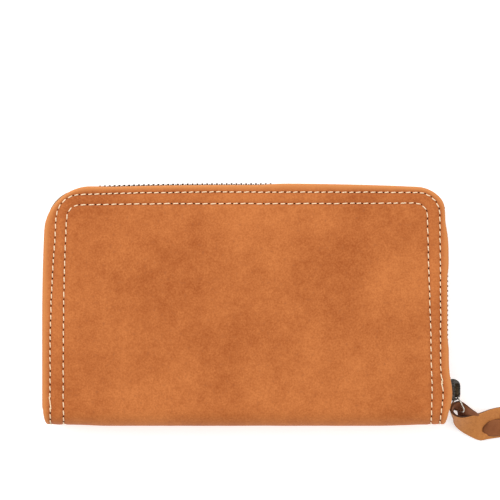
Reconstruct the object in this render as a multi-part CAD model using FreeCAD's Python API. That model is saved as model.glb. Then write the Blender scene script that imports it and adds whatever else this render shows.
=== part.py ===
"""Zip around wallet, lying on its back cover.

Two padded leather covers meet in a rounded leather spine. A metal zip runs round the other three
sides, and its slider carries a wire triangle and a leather strap. Inside, each cover has four rows
of card slots, and a zipped coin pocket stands between them on pleated side gussets.

The origin is the middle of the back cover's flat underside. +X runs to the slider's side, +Y to the
long zipped edge and +Z through the thickness. Everything on the front cover mirrors the back cover
in the plane MID_Z.
"""

import FreeCAD, Part
import math
import os

Vector = FreeCAD.Vector

# ---- overall size, in millimetres
WIDTH = 190.0
HEIGHT = 112.0
THICKNESS = 25.0
CORNER_R = 18.0  # the two corners of the zipped edge
SPINE_CORNER_R = 3.5  # the two corners at the spine, seen from above
SPINE_FOLD_R = 7.0  # where a cover turns up into the spine

HALF_WIDTH = WIDTH / 2
HALF_HEIGHT = HEIGHT / 2
MID_Z = THICKNESS / 2
CORNER_X = HALF_WIDTH - CORNER_R
CORNER_Y = HALF_HEIGHT - CORNER_R
FOLD_Y = -HALF_HEIGHT + SPINE_FOLD_R
SPINE_SPLIT = 0.05  # half the slit at the hinge line, where the leather is one piece that bends

# ---- cover layers, as heights above the table on the back cover
LEATHER = 1.2
BOARD_TOP = 1.8
EDGE_TOP = 2.4  # top of the turned-in leather hem
TAPE_TOP = 2.9
LINING_TOP = 3.3
CARD_BASE_TOP = 3.7
SLOT_THICK = 0.45
SLOT_COUNT = 4
STACK_TOP = CARD_BASE_TOP + SLOT_COUNT * SLOT_THICK

HEM_WIDTH = 11.0
BOARD_INSET = 2.0
PAD_INSET = 11.6
LINING_INSET = 2.4
CARD_BASE_INSET = 7.0
BOARD_LOW_Y = -47.0
PAD_LOW_Y = -45.0
CARD_LOW_Y = -44.0
LINING_GAP = 0.15
LINING_BEND_Y = -50.2
LINING_RISE_Z = 6.6

# ---- card slots
SLOT_HALF_WIDTH = 86.0
SLOT_FIRST_TOP_Y = 28.0
SLOT_STEP_Y = 12.0

# ---- main zip: distances inwards from the wallet's outline, and heights
TAPE_LOW_Y = -50.0
TAPE_OUT = 0.6
TAPE_THICK = 0.5
TAPE_EDGE_Z = 11.0
CHAIN_INSET = TAPE_OUT + TAPE_THICK / 2
CHAIN_HALF = 3.0
TOOTH_REACH = 0.6  # how far a tooth's head passes the middle plane
TOOTH_THICK = 2.4
TOOTH_LENGTH = 0.95
TOOTH_PITCH = 2.3
TOOTH_SLOT = 0.3  # half the slot that holds the tape
CHAIN_END_Y = -41.0
STOP_Y = -47.3
STOP_LENGTH = 1.6

# ---- slider, closed at the lower end of the right-hand side
SLIDER_NOSE_Y = -45.4
SLIDER_LENGTH = 11.0
SLIDER_NOSE_HALF = 2.6
SLIDER_SHOULDER_HALF = 4.5
SLIDER_REAR_HALF = 3.9
CHANNEL_HALF = 3.3
CHANNEL_DEPTH = 1.5  # from the tape's middle to a wing
WING_THICK = 1.0
FLANGE_REACH = 0.7
POST_LENGTH = 3.0
CROWN_HALF = 0.5
CROWN_HEIGHT = 4.9
CROWN_BAR = 0.75
CROWN_SILL = 2.3  # solid foot, from the wing to the opening
CROWN_END = 0.65

CHAIN_X = HALF_WIDTH - CHAIN_INSET
SLIDER_REAR_Y = SLIDER_NOSE_Y + SLIDER_LENGTH
WING_X = CHAIN_X + CHANNEL_DEPTH + WING_THICK

# ---- wire triangle that hangs in the slider's crown
WIRE_R = 0.42
RING_BASE = 12.4
RING_HEIGHT = 6.8
RING_APEX_R = 2.0
RING_CORNER_R = 1.0
RING_DROP = 9.0  # degrees that it sinks towards the table
RING_ROLL = 60.0  # degrees that its base turns up from level
RING_LEAN = 4.5  # degrees that it swings out from the side of the wallet
RING_PIVOT = Vector(
    WING_X + (CROWN_SILL + CROWN_HEIGHT - CROWN_BAR) / 2, SLIDER_NOSE_Y + 1.85, MID_Z
)

# ---- leather pull strap
LOOP_BORE_R = 0.85
LOOP_OUTER_R = 2.2
LOOP_WIDTH = 7.8
STRAP_THICK = 3.4  # two plies
STRAP_TURN = 47.0  # degrees between the ring's plane and the way the strap leaves it

# ---- coin pocket between the covers
COIN_WALL = 0.7
COIN_GAP = 4.2
COIN_HALF_WIDTH = 86.0
COIN_LOW_Y = -52.0
COIN_TOP_Y = 30.0
COIN_SIDE = 1.2
COIN_CORNER_R = 4.0
COIN_BACK_Z = MID_Z - COIN_GAP / 2
COIN_TAPE_THICK = 0.4
COIN_TAPE_DROP = 7.0
COIL_HALF_GAP = 0.3
COIL_WIDTH = 1.2
COIL_THICK = 1.6
COIL_HALF_LENGTH = 79.0
COIN_ZIP_Y = COIN_TOP_Y - 1.2

# ---- coin pocket slider and pull tab
COIN_SLIDER_X = 70.0
COIN_SLIDER_LENGTH = 8.0
COIN_SLIDER_HALF = 1.9
COIN_INNER_HALF = 1.5
COIN_WING = 0.8
COIN_CROWN_HEIGHT = 2.4
COIN_PULL_LENGTH = 14.0
COIN_PULL_THICK = 0.9

# ---- pleated side gussets
GUSSET_OUT_X = 86.8
GUSSET_FOLD_X = 79.0
GUSSET_SPREAD = 2.2  # the leather's thickness, measured across its shallow pleats
GUSSET_CLEAR = 0.12
GUSSET_TOP_Y = 22.0


def face_of(start, steps, place):
    """A flat face. Each step is one point for a straight run, or two for an arc by way of the first."""
    edges = []
    here = place(*start)
    for step in steps:
        end = place(*step[-1])
        if len(step) == 1:
            edges.append(Part.LineSegment(here, end).toShape())
        else:
            edges.append(Part.Arc(here, place(*step[0]), end).toShape())
        here = end
    return Part.Face(Part.Wire(edges))


def polygon(points, place):
    """A flat face with straight sides."""
    return face_of(points[0], [(p,) for p in points[1:] + points[:1]], place)


def on_arc(centre, radius, degrees):
    """A point on an arc, as a pair."""
    a = math.radians(degrees)
    return (centre[0] + radius * math.cos(a), centre[1] + radius * math.sin(a))


def block(x0, x1, y0, y1, z0, z1):
    """An upright box between two corners."""
    return Part.makeBox(x1 - x0, y1 - y0, z1 - z0, Vector(x0, y0, z0))


def rounded_block(x0, x1, y0, y1, z0, z1, r):
    """A box with its four upright edges rounded."""
    steps = [((x1 - r, y0),)]
    turns = [(x1 - r, y0 + r, 315), (x1 - r, y1 - r, 45), (x0 + r, y1 - r, 135), (x0 + r, y0 + r, 225)]
    for i, (x, y, degrees) in enumerate(turns):
        steps.append((on_arc((x, y), r, degrees), on_arc((x, y), r, degrees + 45)))
        ahead = turns[(i + 1) % 4]
        steps.append((on_arc(ahead[:2], r, degrees + 45),))
    face = face_of((x0 + r, y0), steps[:-1], lambda x, y: Vector(x, y, z0))
    return face.extrude(Vector(0, 0, z1 - z0))


def fused(shapes):
    """One solid from several that touch or overlap."""
    return shapes[0].multiFuse(shapes[1:]).removeSplitter()


def to_front(shape):
    """The mirror image on the front cover."""
    return shape.mirror(Vector(0, 0, MID_Z), Vector(0, 0, 1))


def to_left(shape):
    """The mirror image on the left-hand side."""
    return shape.mirror(Vector(0, 0, 0), Vector(1, 0, 0))


def panel(inset, y_low, z_low, z_high, low_r=0.0):
    """A flat sheet whose edge runs at one inset from the wallet's outline, down to y_low."""
    x = HALF_WIDTH - inset
    y = HALF_HEIGHT - inset
    r = CORNER_R - inset
    right, left = (x - r, y - r), (r - x, y - r)
    steps = [
        ((x, y - r),),
        (on_arc(right, r, 45), (x - r, y)),
        ((r - x, y),),
        (on_arc(left, r, 135), (-x, y - r)),
        ((-x, y_low + low_r),),
    ]
    if low_r:
        steps.append((on_arc((low_r - x, y_low + low_r), low_r, 225), (low_r - x, y_low)))
        steps.append(((x - low_r, y_low),))
        steps.append((on_arc((x - low_r, y_low + low_r), low_r, 315), (x, y_low + low_r)))
    else:
        steps.append(((x, y_low),))
    face = face_of((x, y_low + low_r), steps, lambda a, b: Vector(a, b, z_low))
    return face.extrude(Vector(0, 0, z_high - z_low))


def round_three_sides(start, steps, y_low):
    """A section given as (inset from the outline, height), carried round the three zipped sides."""
    section = face_of(start, steps, lambda u, z: Vector(HALF_WIDTH - u, CORNER_Y, z))
    pivot = Vector(CORNER_X, CORNER_Y, 0)
    up = Vector(0, 0, 1)
    leg = section.extrude(Vector(0, y_low - CORNER_Y, 0))
    corner = section.revolve(pivot, up, 90)
    turned = section.copy()
    turned.rotate(pivot, up, 90)
    top = turned.extrude(Vector(-2 * CORNER_X, 0, 0))
    return fused([leg, corner, top, to_left(corner), to_left(leg)])


def spine_strip(outer, thick, y_start, half_width):
    """A sheet that turns up from the back cover into the spine, ending at the hinge line."""
    centre = (FOLD_Y, SPINE_FOLD_R)
    big, small = SPINE_FOLD_R - outer, SPINE_FOLD_R - outer - thick
    top = MID_Z - SPINE_SPLIT
    steps = [
        ((FOLD_Y, outer),),
        (on_arc(centre, big, 225), (FOLD_Y - big, SPINE_FOLD_R)),
        ((FOLD_Y - big, top),),
        ((FOLD_Y - small, top),),
        ((FOLD_Y - small, SPINE_FOLD_R),),
        (on_arc(centre, small, 225), (FOLD_Y, outer + thick)),
        ((y_start, outer + thick),),
        ((y_start, outer),),
    ]
    face = face_of((y_start, outer), steps, lambda y, z: Vector(-half_width, y, z))
    return face.extrude(Vector(2 * half_width, 0, 0))


def cover_leather():
    """Outer leather of one cover: flat panel, rolled edge with its turned-in hem, and half the spine."""
    roll = EDGE_TOP / 2
    edge = round_three_sides(
        (HEM_WIDTH, 0.0),
        [
            ((roll, 0.0),),
            ((0.0, roll), (roll, EDGE_TOP)),
            ((HEM_WIDTH, EDGE_TOP),),
            ((HEM_WIDTH, BOARD_TOP),),
            ((BOARD_INSET, BOARD_TOP),),
            ((BOARD_INSET, LEATHER),),
            ((HEM_WIDTH, LEATHER),),
            ((HEM_WIDTH, 0.0),),
        ],
        FOLD_Y,
    )
    flat = panel(HEM_WIDTH - 0.5, FOLD_Y, 0.0, LEATHER)
    outline = panel(0.0, -HALF_HEIGHT, 0.0, THICKNESS, SPINE_CORNER_R)
    spine = spine_strip(0.0, LEATHER, FOLD_Y + 0.5, HALF_WIDTH - 1.2).common(outline)
    return fused([edge, flat, spine])


def cover_lining():
    """Thin lining of one cover, rising from the flat to follow the spine up to the hinge line."""
    thick = LINING_TOP - TAPE_TOP
    half = HALF_WIDTH - LINING_INSET
    wall = -HALF_HEIGHT + LEATHER + LINING_GAP
    top = MID_Z - SPINE_SPLIT
    flat = panel(LINING_INSET, PAD_LOW_Y, TAPE_TOP, LINING_TOP)
    spine = polygon(
        [
            (PAD_LOW_Y, TAPE_TOP),
            (LINING_BEND_Y, TAPE_TOP),
            (wall, LINING_RISE_Z),
            (wall, top),
            (wall + thick, top),
            (wall + thick, LINING_RISE_Z + thick / 2),
            (LINING_BEND_Y + thick / 2, LINING_TOP),
            (PAD_LOW_Y, LINING_TOP),
        ],
        lambda y, z: Vector(-half, y, z),
    ).extrude(Vector(2 * half, 0, 0))
    return fused([flat, spine])


def card_slot(number):
    """One row of card slots. Row 1 has the highest mouth and lies deepest."""
    low = CARD_BASE_TOP + (number - 1) * SLOT_THICK
    mouth = SLOT_FIRST_TOP_Y - (number - 1) * SLOT_STEP_Y
    return block(-SLOT_HALF_WIDTH, SLOT_HALF_WIDTH, CARD_LOW_Y, mouth, low, low + SLOT_THICK)


def zip_tape():
    """Half the zip's woven tape: sewn under the hem, then standing up to hold the teeth."""
    inner = TAPE_OUT + TAPE_THICK
    foot = 1.3
    return round_three_sides(
        (10.0, EDGE_TOP),
        [
            ((foot, EDGE_TOP),),
            ((foot, 3.0),),
            ((TAPE_OUT, 6.0),),
            ((TAPE_OUT, TAPE_EDGE_Z),),
            ((inner, TAPE_EDGE_Z),),
            ((inner, 6.1),),
            ((foot + TAPE_THICK, 3.1),),
            ((foot + TAPE_THICK, TAPE_TOP),),
            ((10.0, TAPE_TOP),),
            ((10.0, EDGE_TOP),),
        ],
        TAPE_LOW_Y,
    )


def along_zip(distance):
    """Where the chain is, and the way out of the wallet in degrees, measured from its right-hand end."""
    radius = CORNER_R - CHAIN_INSET
    leg = CORNER_Y - CHAIN_END_Y
    arc = radius * math.pi / 2
    if distance < leg:
        return CHAIN_X, CHAIN_END_Y + distance, 0.0
    distance -= leg
    if distance < arc:
        x, y = on_arc((CORNER_X, CORNER_Y), radius, math.degrees(distance / radius))
        return x, y, math.degrees(distance / radius)
    distance -= arc
    if distance < 2 * CORNER_X:
        return CORNER_X - distance, CORNER_Y + radius, 90.0
    distance -= 2 * CORNER_X
    if distance < arc:
        degrees = 90 + math.degrees(distance / radius)
        x, y = on_arc((-CORNER_X, CORNER_Y), radius, degrees)
        return x, y, degrees
    return -CHAIN_X, CORNER_Y - (distance - arc), 180.0


def chain_length():
    """Length of the chain of teeth, from end to end."""
    radius = CORNER_R - CHAIN_INSET
    return 2 * (CORNER_Y - CHAIN_END_Y) + math.pi * radius + 2 * CORNER_X


def zip_teeth(offset):
    """One row of teeth, each clamped over the tape's edge. Its heads pass the middle plane."""
    half = TOOTH_THICK / 2
    foot = MID_Z - CHAIN_HALF
    neck = TAPE_EDGE_Z + 0.06
    head = MID_Z + TOOTH_REACH
    face = polygon(
        [
            (half, foot + 0.3),
            (half, head - 0.4),
            (half - 0.4, head),
            (0.4 - half, head),
            (-half, head - 0.4),
            (-half, foot + 0.3),
            (0.3 - half, foot),
            (-TOOTH_SLOT, foot),
            (-TOOTH_SLOT, neck),
            (TOOTH_SLOT, neck),
            (TOOTH_SLOT, foot),
            (half - 0.3, foot),
        ],
        lambda x, z: Vector(x, -TOOTH_LENGTH / 2, z),
    )
    tooth = face.extrude(Vector(0, TOOTH_LENGTH, 0))
    teeth = []
    distance = offset
    while distance < chain_length():
        x, y, degrees = along_zip(distance)
        one = tooth.copy()
        one.rotate(Vector(0, 0, 0), Vector(0, 0, 1), degrees)
        one.translate(Vector(x, y, 0))
        teeth.append(one)
        distance += TOOTH_PITCH
    return Part.Compound(teeth)


def zip_stops():
    """The two metal crimps that end one row of teeth."""
    stops = []
    for side in (1, -1):
        for reach in (TOOTH_SLOT, -TOOTH_SLOT - 0.9):
            stops.append(
                block(reach, reach + 0.9, STOP_Y, STOP_Y + STOP_LENGTH, MID_Z - 3.4, TAPE_EDGE_Z + 0.9)
            )
        stops.append(
            block(-0.5, 0.5, STOP_Y, STOP_Y + STOP_LENGTH, TAPE_EDGE_Z + 0.06, TAPE_EDGE_Z + 0.9)
        )
        for piece in stops[-3:]:
            piece.translate(Vector(side * CHAIN_X, 0, 0))
    return Part.Compound([fused(stops[:3]), fused(stops[3:])])


def slider_plan(x_low, x_high):
    """A slab with the slider's outline: a blunt nose, wide shoulders and a narrower tail."""
    nose, rear = SLIDER_NOSE_Y, SLIDER_REAR_Y
    shoulder = SLIDER_SHOULDER_HALF
    steps = [
        ((nose + 0.6, shoulder - 0.7), (nose + 2.0, shoulder)),
        ((nose + 4.6, shoulder),),
        ((rear, SLIDER_REAR_HALF),),
        ((rear, -SLIDER_REAR_HALF),),
        ((nose + 4.6, -shoulder),),
        ((nose + 2.0, -shoulder),),
        ((nose + 0.6, 0.7 - shoulder), (nose, -SLIDER_NOSE_HALF)),
        ((nose, SLIDER_NOSE_HALF),),
    ]
    face = face_of(
        (nose, SLIDER_NOSE_HALF), steps, lambda y, z: Vector(x_low, y, MID_Z + z)
    )
    return face.extrude(Vector(x_high - x_low, 0, 0))


def slider_crown():
    """The hooped crown on the slider's outer wing, with the opening that the wire runs through."""
    base, top = WING_X - 0.1, WING_X + CROWN_HEIGHT
    rear, nose = SLIDER_REAR_Y - 1.3, SLIDER_NOSE_Y + 0.3
    outer = face_of(
        (base, rear),
        [
            ((top - 0.8, rear - 0.9), (top, rear - 3.0)),
            ((top, nose + 2.4),),
            ((top - 0.7, nose + 0.6), (base, nose)),
            ((base, rear),),
        ],
        lambda x, y: Vector(x, y, MID_Z - CROWN_HALF),
    ).extrude(Vector(0, 0, 2 * CROWN_HALF))
    hole = rounded_block(
        WING_X + CROWN_SILL, top - CROWN_BAR, nose + CROWN_END, rear - 1.7,
        MID_Z - 2, MID_Z + 2, 0.5,
    )
    return outer.cut(hole)


def zip_slider():
    """Slider body: two wings with inturned flanges, joined by the post that parts the teeth."""
    outer_low = CHAIN_X + CHANNEL_DEPTH
    inner_high = CHAIN_X - CHANNEL_DEPTH
    channel = block(
        inner_high, outer_low, SLIDER_NOSE_Y - 1, SLIDER_REAR_Y + 1,
        MID_Z - CHANNEL_HALF, MID_Z + CHANNEL_HALF,
    )
    outer = slider_plan(outer_low - FLANGE_REACH, outer_low + WING_THICK).cut(channel)
    inner = slider_plan(inner_high - WING_THICK, inner_high + FLANGE_REACH).cut(channel)
    post = polygon(
        [
            (SLIDER_NOSE_Y, -1.2),
            (SLIDER_NOSE_Y + 1.0, -1.5),
            (SLIDER_NOSE_Y + POST_LENGTH, 0.0),
            (SLIDER_NOSE_Y + 1.0, 1.5),
            (SLIDER_NOSE_Y, 1.2),
        ],
        lambda y, z: Vector(inner_high - 0.1, y, MID_Z + z),
    ).extrude(Vector(2 * CHANNEL_DEPTH + 0.2, 0, 0))
    return fused([outer, inner, post, slider_crown()])


def ring_axes():
    """Unit directions of the wire triangle: along its base, down its height, and square to both."""
    drop, roll, lean = (math.radians(a) for a in (RING_DROP, RING_ROLL, RING_LEAN))
    down = Vector(0, -math.cos(drop), -math.sin(drop))
    base = Vector(
        math.cos(roll), -math.sin(drop) * math.sin(roll), math.cos(drop) * math.sin(roll)
    )
    swing = FreeCAD.Rotation(Vector(0, 0, 1), math.degrees(lean))
    down, base = swing.multVec(down), swing.multVec(base)
    return base, down, base.cross(down)


def rounded_loop(corners, radii):
    """A closed wire with straight runs between corners, each rounded by its own radius."""
    count = len(corners)
    tangents = []
    for i, corner in enumerate(corners):
        back = (corners[i - 1] - corner).normalize()
        ahead = (corners[(i + 1) % count] - corner).normalize()
        half_angle = back.getAngle(ahead) / 2
        cut = radii[i] / math.tan(half_angle)
        bisector = (back + ahead).normalize()
        middle = corner + bisector * (radii[i] / math.sin(half_angle) - radii[i])
        tangents.append((corner + back * cut, middle, corner + ahead * cut))
    edges = []
    for i, (start, middle, end) in enumerate(tangents):
        edges.append(Part.Arc(start, middle, end).toShape())
        edges.append(Part.LineSegment(end, tangents[(i + 1) % count][0]).toShape())
    return Part.Wire(edges)


def pull_ring():
    """Wire triangle: its tip hangs in the crown, and its base carries the strap."""
    base, down, _ = ring_axes()
    half_angle = math.atan(RING_BASE / 2 / RING_HEIGHT)
    tip = RING_PIVOT - down * RING_APEX_R * (1 / math.sin(half_angle) - 1)
    foot = RING_PIVOT + down * RING_HEIGHT
    corners = [tip, foot + base * (RING_BASE / 2), foot - base * (RING_BASE / 2)]
    path = rounded_loop(corners, [RING_APEX_R, RING_CORNER_R, RING_CORNER_R])
    start = path.Edges[-1].valueAt(path.Edges[-1].FirstParameter)
    tangent = path.Edges[-1].tangentAt(path.Edges[-1].FirstParameter)
    circle = Part.Wire(Part.makeCircle(WIRE_R, start, tangent))
    ordered = Part.Wire([path.Edges[-1]] + path.Edges[:-1])
    return ordered.makePipeShell([circle], True, True)


def pull_strap():
    """Leather pull: a loop round the triangle's base, turning flat as it drops to the table."""
    base, down, square = ring_axes()
    foot = RING_PIVOT + down * RING_HEIGHT
    turn = math.radians(STRAP_TURN)
    leave = down * math.cos(turn) + square * math.sin(turn)
    outer = Part.makeCylinder(LOOP_OUTER_R, LOOP_WIDTH, foot - base * (LOOP_WIDTH / 2), base)
    bore = Part.makeCylinder(LOOP_BORE_R, LOOP_WIDTH + 2, foot - base * (LOOP_WIDTH / 2 + 1), base)
    flat = STRAP_THICK / 2
    across = Vector(0.05, 1, 0)
    stations = [
        (foot + leave * 1.2, base, LOOP_WIDTH - 0.3, leave),
        (foot + leave * 6.5, base * 0.8 + across * 0.35, 9.5, leave),
        (Vector(108.0, -56.4, 3.7), Vector(0.42, 0.8, 0.34), 11.0, Vector(0.75, -0.45, -0.35)),
        (Vector(113.5, -57.4, 2.0), Vector(0.1, 1, 0.03), 12.2, Vector(1, -0.02, -0.03)),
        (Vector(121.0, -56.6, flat), Vector(-0.1, 1, 0), 12.4, Vector(1, 0.12, 0)),
        (Vector(133.0, -54.8, flat), Vector(-0.14, 1, 0), 10.4, Vector(1, 0.14, 0)),
        (Vector(150.0, -52.4, flat), Vector(-0.14, 1, 0), 8.0, Vector(1, 0.14, 0)),
        (Vector(156.0, -51.6, flat), Vector(-0.14, 1, 0), 3.0, Vector(1, 0.14, 0)),
    ]
    sections = []
    for centre, width_way, width, forward in stations:
        side = Vector(width_way).normalize() * (width / 2)
        lift = Vector(width_way).cross(Vector(forward)).normalize() * (STRAP_THICK / 2)
        corners = [centre + side + lift, centre - side + lift, centre - side - lift, centre + side - lift]
        sections.append(Part.makePolygon(corners + corners[:1]))
    body = Part.makeLoft(sections, True, True)
    return fused([outer, body]).cut(bore)


def coin_wall():
    """Back wall of the coin pocket, with rounded upper corners."""
    x, r = COIN_HALF_WIDTH, COIN_CORNER_R
    low = COIN_BACK_Z - COIN_WALL
    face = face_of(
        (x, COIN_LOW_Y),
        [
            ((x, COIN_TOP_Y - r),),
            (on_arc((x - r, COIN_TOP_Y - r), r, 45), (x - r, COIN_TOP_Y)),
            ((r - x, COIN_TOP_Y),),
            (on_arc((r - x, COIN_TOP_Y - r), r, 135), (-x, COIN_TOP_Y - r)),
            ((-x, COIN_LOW_Y),),
            ((x, COIN_LOW_Y),),
        ],
        lambda a, b: Vector(a, b, low),
    )
    return face.extrude(Vector(0, 0, COIN_WALL))


def coin_gusset():
    """Strip that closes the coin pocket's two sides and its bottom."""
    low, high = COIN_BACK_Z, COIN_BACK_Z + COIN_GAP
    x, top = COIN_HALF_WIDTH, COIN_TOP_Y - COIN_CORNER_R
    side = block(x - COIN_SIDE, x, COIN_LOW_Y, top, low, high)
    bottom = block(-x, x, COIN_LOW_Y, COIN_LOW_Y + COIN_SIDE, low, high)
    return fused([side, bottom, to_left(side)])


def coin_zip_tape():
    """Half the coin zip's tape: sewn inside the back wall, then turned in to hold the coil."""
    low = COIN_BACK_Z
    half = COIN_HALF_WIDTH - COIN_SIDE - 0.3
    edge = MID_Z - COIL_HALF_GAP - 0.3
    skirt = block(-half, half, COIN_ZIP_Y - COIN_TAPE_DROP, COIN_ZIP_Y, low, low + COIN_TAPE_THICK)
    shelf = block(-half, half, COIN_ZIP_Y - COIN_TAPE_THICK, COIN_ZIP_Y, low, edge)
    return fused([skirt, shelf])


def coin_zip_coil():
    """One half of the coin zip's coil, sewn along its tape's edge."""
    high = MID_Z - COIL_HALF_GAP
    return block(
        -COIL_HALF_LENGTH, COIL_HALF_LENGTH,
        COIN_ZIP_Y, COIN_ZIP_Y + COIL_THICK / 2,
        high - COIL_WIDTH, high,
    )


def coin_zip_stops():
    """Metal stops at the two ends of the coin zip."""
    reach = COIL_HALF_GAP + COIL_WIDTH
    stop = block(
        COIL_HALF_LENGTH + 0.2, COIL_HALF_LENGTH + 2.0,
        COIN_ZIP_Y + 0.02, COIN_ZIP_Y + 1.0,
        MID_Z - reach, MID_Z + reach,
    )
    return Part.Compound([stop, to_left(stop)])


def coin_zip_slider():
    """Small slider: outer wing with its crown, inner wing, and a thin web between the two coils."""
    x0, x1 = COIN_SLIDER_X - COIN_SLIDER_LENGTH / 2, COIN_SLIDER_X + COIN_SLIDER_LENGTH / 2
    z0, z1 = MID_Z - COIN_SLIDER_HALF, MID_Z + COIN_SLIDER_HALF
    outer_y = COIN_ZIP_Y + COIL_THICK / 2 + 0.25
    inner_y = COIN_ZIP_Y - COIN_TAPE_THICK - 0.35
    outer = block(x0, x1, outer_y, outer_y + COIN_WING, z0, z1)
    inner = block(
        x0, x1, inner_y - COIN_WING, inner_y, MID_Z - COIN_INNER_HALF, MID_Z + COIN_INNER_HALF
    )
    web = block(x0 + 5.0, x1 - 0.4, inner_y - 0.2, outer_y + 0.2, MID_Z - 0.15, MID_Z + 0.15)
    base = outer_y + COIN_WING
    top = base + COIN_CROWN_HEIGHT
    hoop = face_of(
        (x0 + 1.0, base - 0.1),
        [
            ((x0 + 1.6, top - 0.5), (x0 + 3.0, top)),
            ((x1 - 3.0, top),),
            ((x1 - 1.6, top - 0.5), (x1 - 1.0, base - 0.1)),
            ((x0 + 1.0, base - 0.1),),
        ],
        lambda x, y: Vector(x, y, MID_Z - 0.7),
    ).extrude(Vector(0, 0, 1.4))
    opening = block(x0 + 2.2, x1 - 2.2, base + 0.2, top - 0.7, MID_Z - 2, MID_Z + 2)
    return fused([outer, inner, web, hoop.cut(opening)])


def coin_zip_pull():
    """Flat metal tab whose upper bar turns in the small slider's crown."""
    pivot_y = coin_pull_axis_y()
    x0 = COIN_SLIDER_X
    tab = block(
        x0 - COIN_PULL_LENGTH, x0 + 0.45,
        pivot_y - COIN_PULL_THICK / 2, pivot_y + COIN_PULL_THICK / 2,
        MID_Z - 2.0, MID_Z + 2.0,
    )
    slot = block(x0 - 4.4, x0 - 0.45, pivot_y - 2, pivot_y + 2, MID_Z - 1.1, MID_Z + 1.1)
    return tab.cut(slot)


def coin_pull_axis_y():
    """Height up the wallet of the line that the coin pocket's pull tab turns on."""
    outer_y = COIN_ZIP_Y + COIL_THICK / 2 + 0.25
    return outer_y + COIN_WING + 0.95


def side_gusset():
    """Pleated gusset on the right, between the back cover's card panel and the coin pocket."""
    low, high = STACK_TOP + GUSSET_CLEAR, COIN_BACK_Z - COIN_WALL - GUSSET_CLEAR
    step = (high - low) / 4
    line = [
        (GUSSET_OUT_X, low),
        (GUSSET_FOLD_X, low + step),
        (GUSSET_OUT_X, low + 2 * step),
        (GUSSET_FOLD_X, low + 3 * step),
        (GUSSET_OUT_X, high),
    ]
    inner = [(x - GUSSET_SPREAD, z) for x, z in reversed(line)]
    face = polygon(line + inner, lambda x, z: Vector(x, CARD_LOW_Y, z))
    return face.extrude(Vector(0, GUSSET_TOP_Y - CARD_LOW_Y, 0))


def export(name, shape):
    """Writes one sub-part, after a check that it is sound."""
    if not shape.isValid() or shape.Volume <= 0:
        raise ValueError(f"{name} is not a sound solid: volume {shape.Volume:.2f}")
    shape.exportStep(os.path.join("parts", f"{name}.step"))
    print(f"{name:24s} {len(shape.Solids):4d} solid(s) {shape.Volume:10.1f} mm3")


def main():
    os.makedirs("parts", exist_ok=True)
    back = {
        "cover_leather": cover_leather(),
        "cover_board": panel(BOARD_INSET + 0.1, BOARD_LOW_Y, LEATHER, BOARD_TOP),
        "cover_pad": panel(PAD_INSET, PAD_LOW_Y, BOARD_TOP, TAPE_TOP),
        "cover_lining": cover_lining(),
        "card_panel": panel(CARD_BASE_INSET, CARD_LOW_Y, LINING_TOP, CARD_BASE_TOP),
        "zip_tape": zip_tape(),
        "zip_stops": zip_stops(),
        "gusset_right": side_gusset(),
        "gusset_left": to_left(side_gusset()),
        "coin_wall": coin_wall(),
        "coin_zip_tape": coin_zip_tape(),
        "coin_zip_coil": coin_zip_coil(),
    }
    for number in range(1, SLOT_COUNT + 1):
        back[f"card_slot_{number}"] = card_slot(number)
    for name, shape in back.items():
        export(f"{name}_back", shape)
        export(f"{name}_front", to_front(shape))
    export("zip_teeth_back", zip_teeth(TOOTH_LENGTH / 2))
    export("zip_teeth_front", to_front(zip_teeth(TOOTH_LENGTH / 2 + TOOTH_PITCH / 2)))
    export("zip_slider", zip_slider())
    export("pull_ring", pull_ring())
    export("pull_strap", pull_strap())
    export("coin_gusset", coin_gusset())
    export("coin_zip_stops", coin_zip_stops())
    export("coin_zip_slider", coin_zip_slider())
    export("coin_zip_pull", coin_zip_pull())


main()
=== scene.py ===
"""Looks of a zip around wallet in tan leather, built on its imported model.

Sizes inside the classes are millimetres in the model's own frame: +X to the slider's side, +Y to the
long zipped edge, +Z through the thickness. Meshes are made in metres.
"""

import logging
import math
from dataclasses import dataclass, field
from enum import Enum
from typing import Callable, ClassVar, Iterable, Mapping, Sequence, Union

import bmesh
import bpy
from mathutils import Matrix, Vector, noise


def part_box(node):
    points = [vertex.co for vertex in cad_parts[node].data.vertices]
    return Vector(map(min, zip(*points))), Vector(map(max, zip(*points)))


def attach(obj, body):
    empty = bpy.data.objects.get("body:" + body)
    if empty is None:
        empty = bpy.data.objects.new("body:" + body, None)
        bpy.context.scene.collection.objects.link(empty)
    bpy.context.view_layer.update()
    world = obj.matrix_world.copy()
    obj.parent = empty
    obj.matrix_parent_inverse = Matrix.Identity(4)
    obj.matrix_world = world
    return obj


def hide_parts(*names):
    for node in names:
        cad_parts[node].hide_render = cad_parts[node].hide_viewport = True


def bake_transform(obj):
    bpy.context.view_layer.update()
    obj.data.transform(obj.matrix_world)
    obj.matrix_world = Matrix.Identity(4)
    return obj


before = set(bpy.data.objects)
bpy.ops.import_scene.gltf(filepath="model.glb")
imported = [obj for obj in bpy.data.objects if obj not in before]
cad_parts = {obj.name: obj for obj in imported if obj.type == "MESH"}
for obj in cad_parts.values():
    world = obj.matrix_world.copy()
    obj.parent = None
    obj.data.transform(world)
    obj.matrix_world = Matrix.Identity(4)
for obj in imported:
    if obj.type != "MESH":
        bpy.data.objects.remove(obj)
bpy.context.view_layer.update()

LOG = logging.getLogger("wallet")
MM = 0.001
Pair = tuple[float, float]
Triple = tuple[float, float, float]
Face = tuple[int, ...]
Corner = tuple[float, float, float, float, float]
Key = Union[str, int]
Piece = bpy.types.Object
Material = bpy.types.Material
Tree = bpy.types.NodeTree
Socket = bpy.types.NodeSocket
Settings = Mapping[Key, object]
Links = Mapping[Key, Socket]


# ---------------------------------------------------------------- small tools


def smooth(value: float, low: float, high: float) -> float:
    """Eases from 0 at low to 1 at high."""
    t = min(max((value - low) / (high - low), 0.0), 1.0)
    return t * t * (3 - 2 * t)


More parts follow.
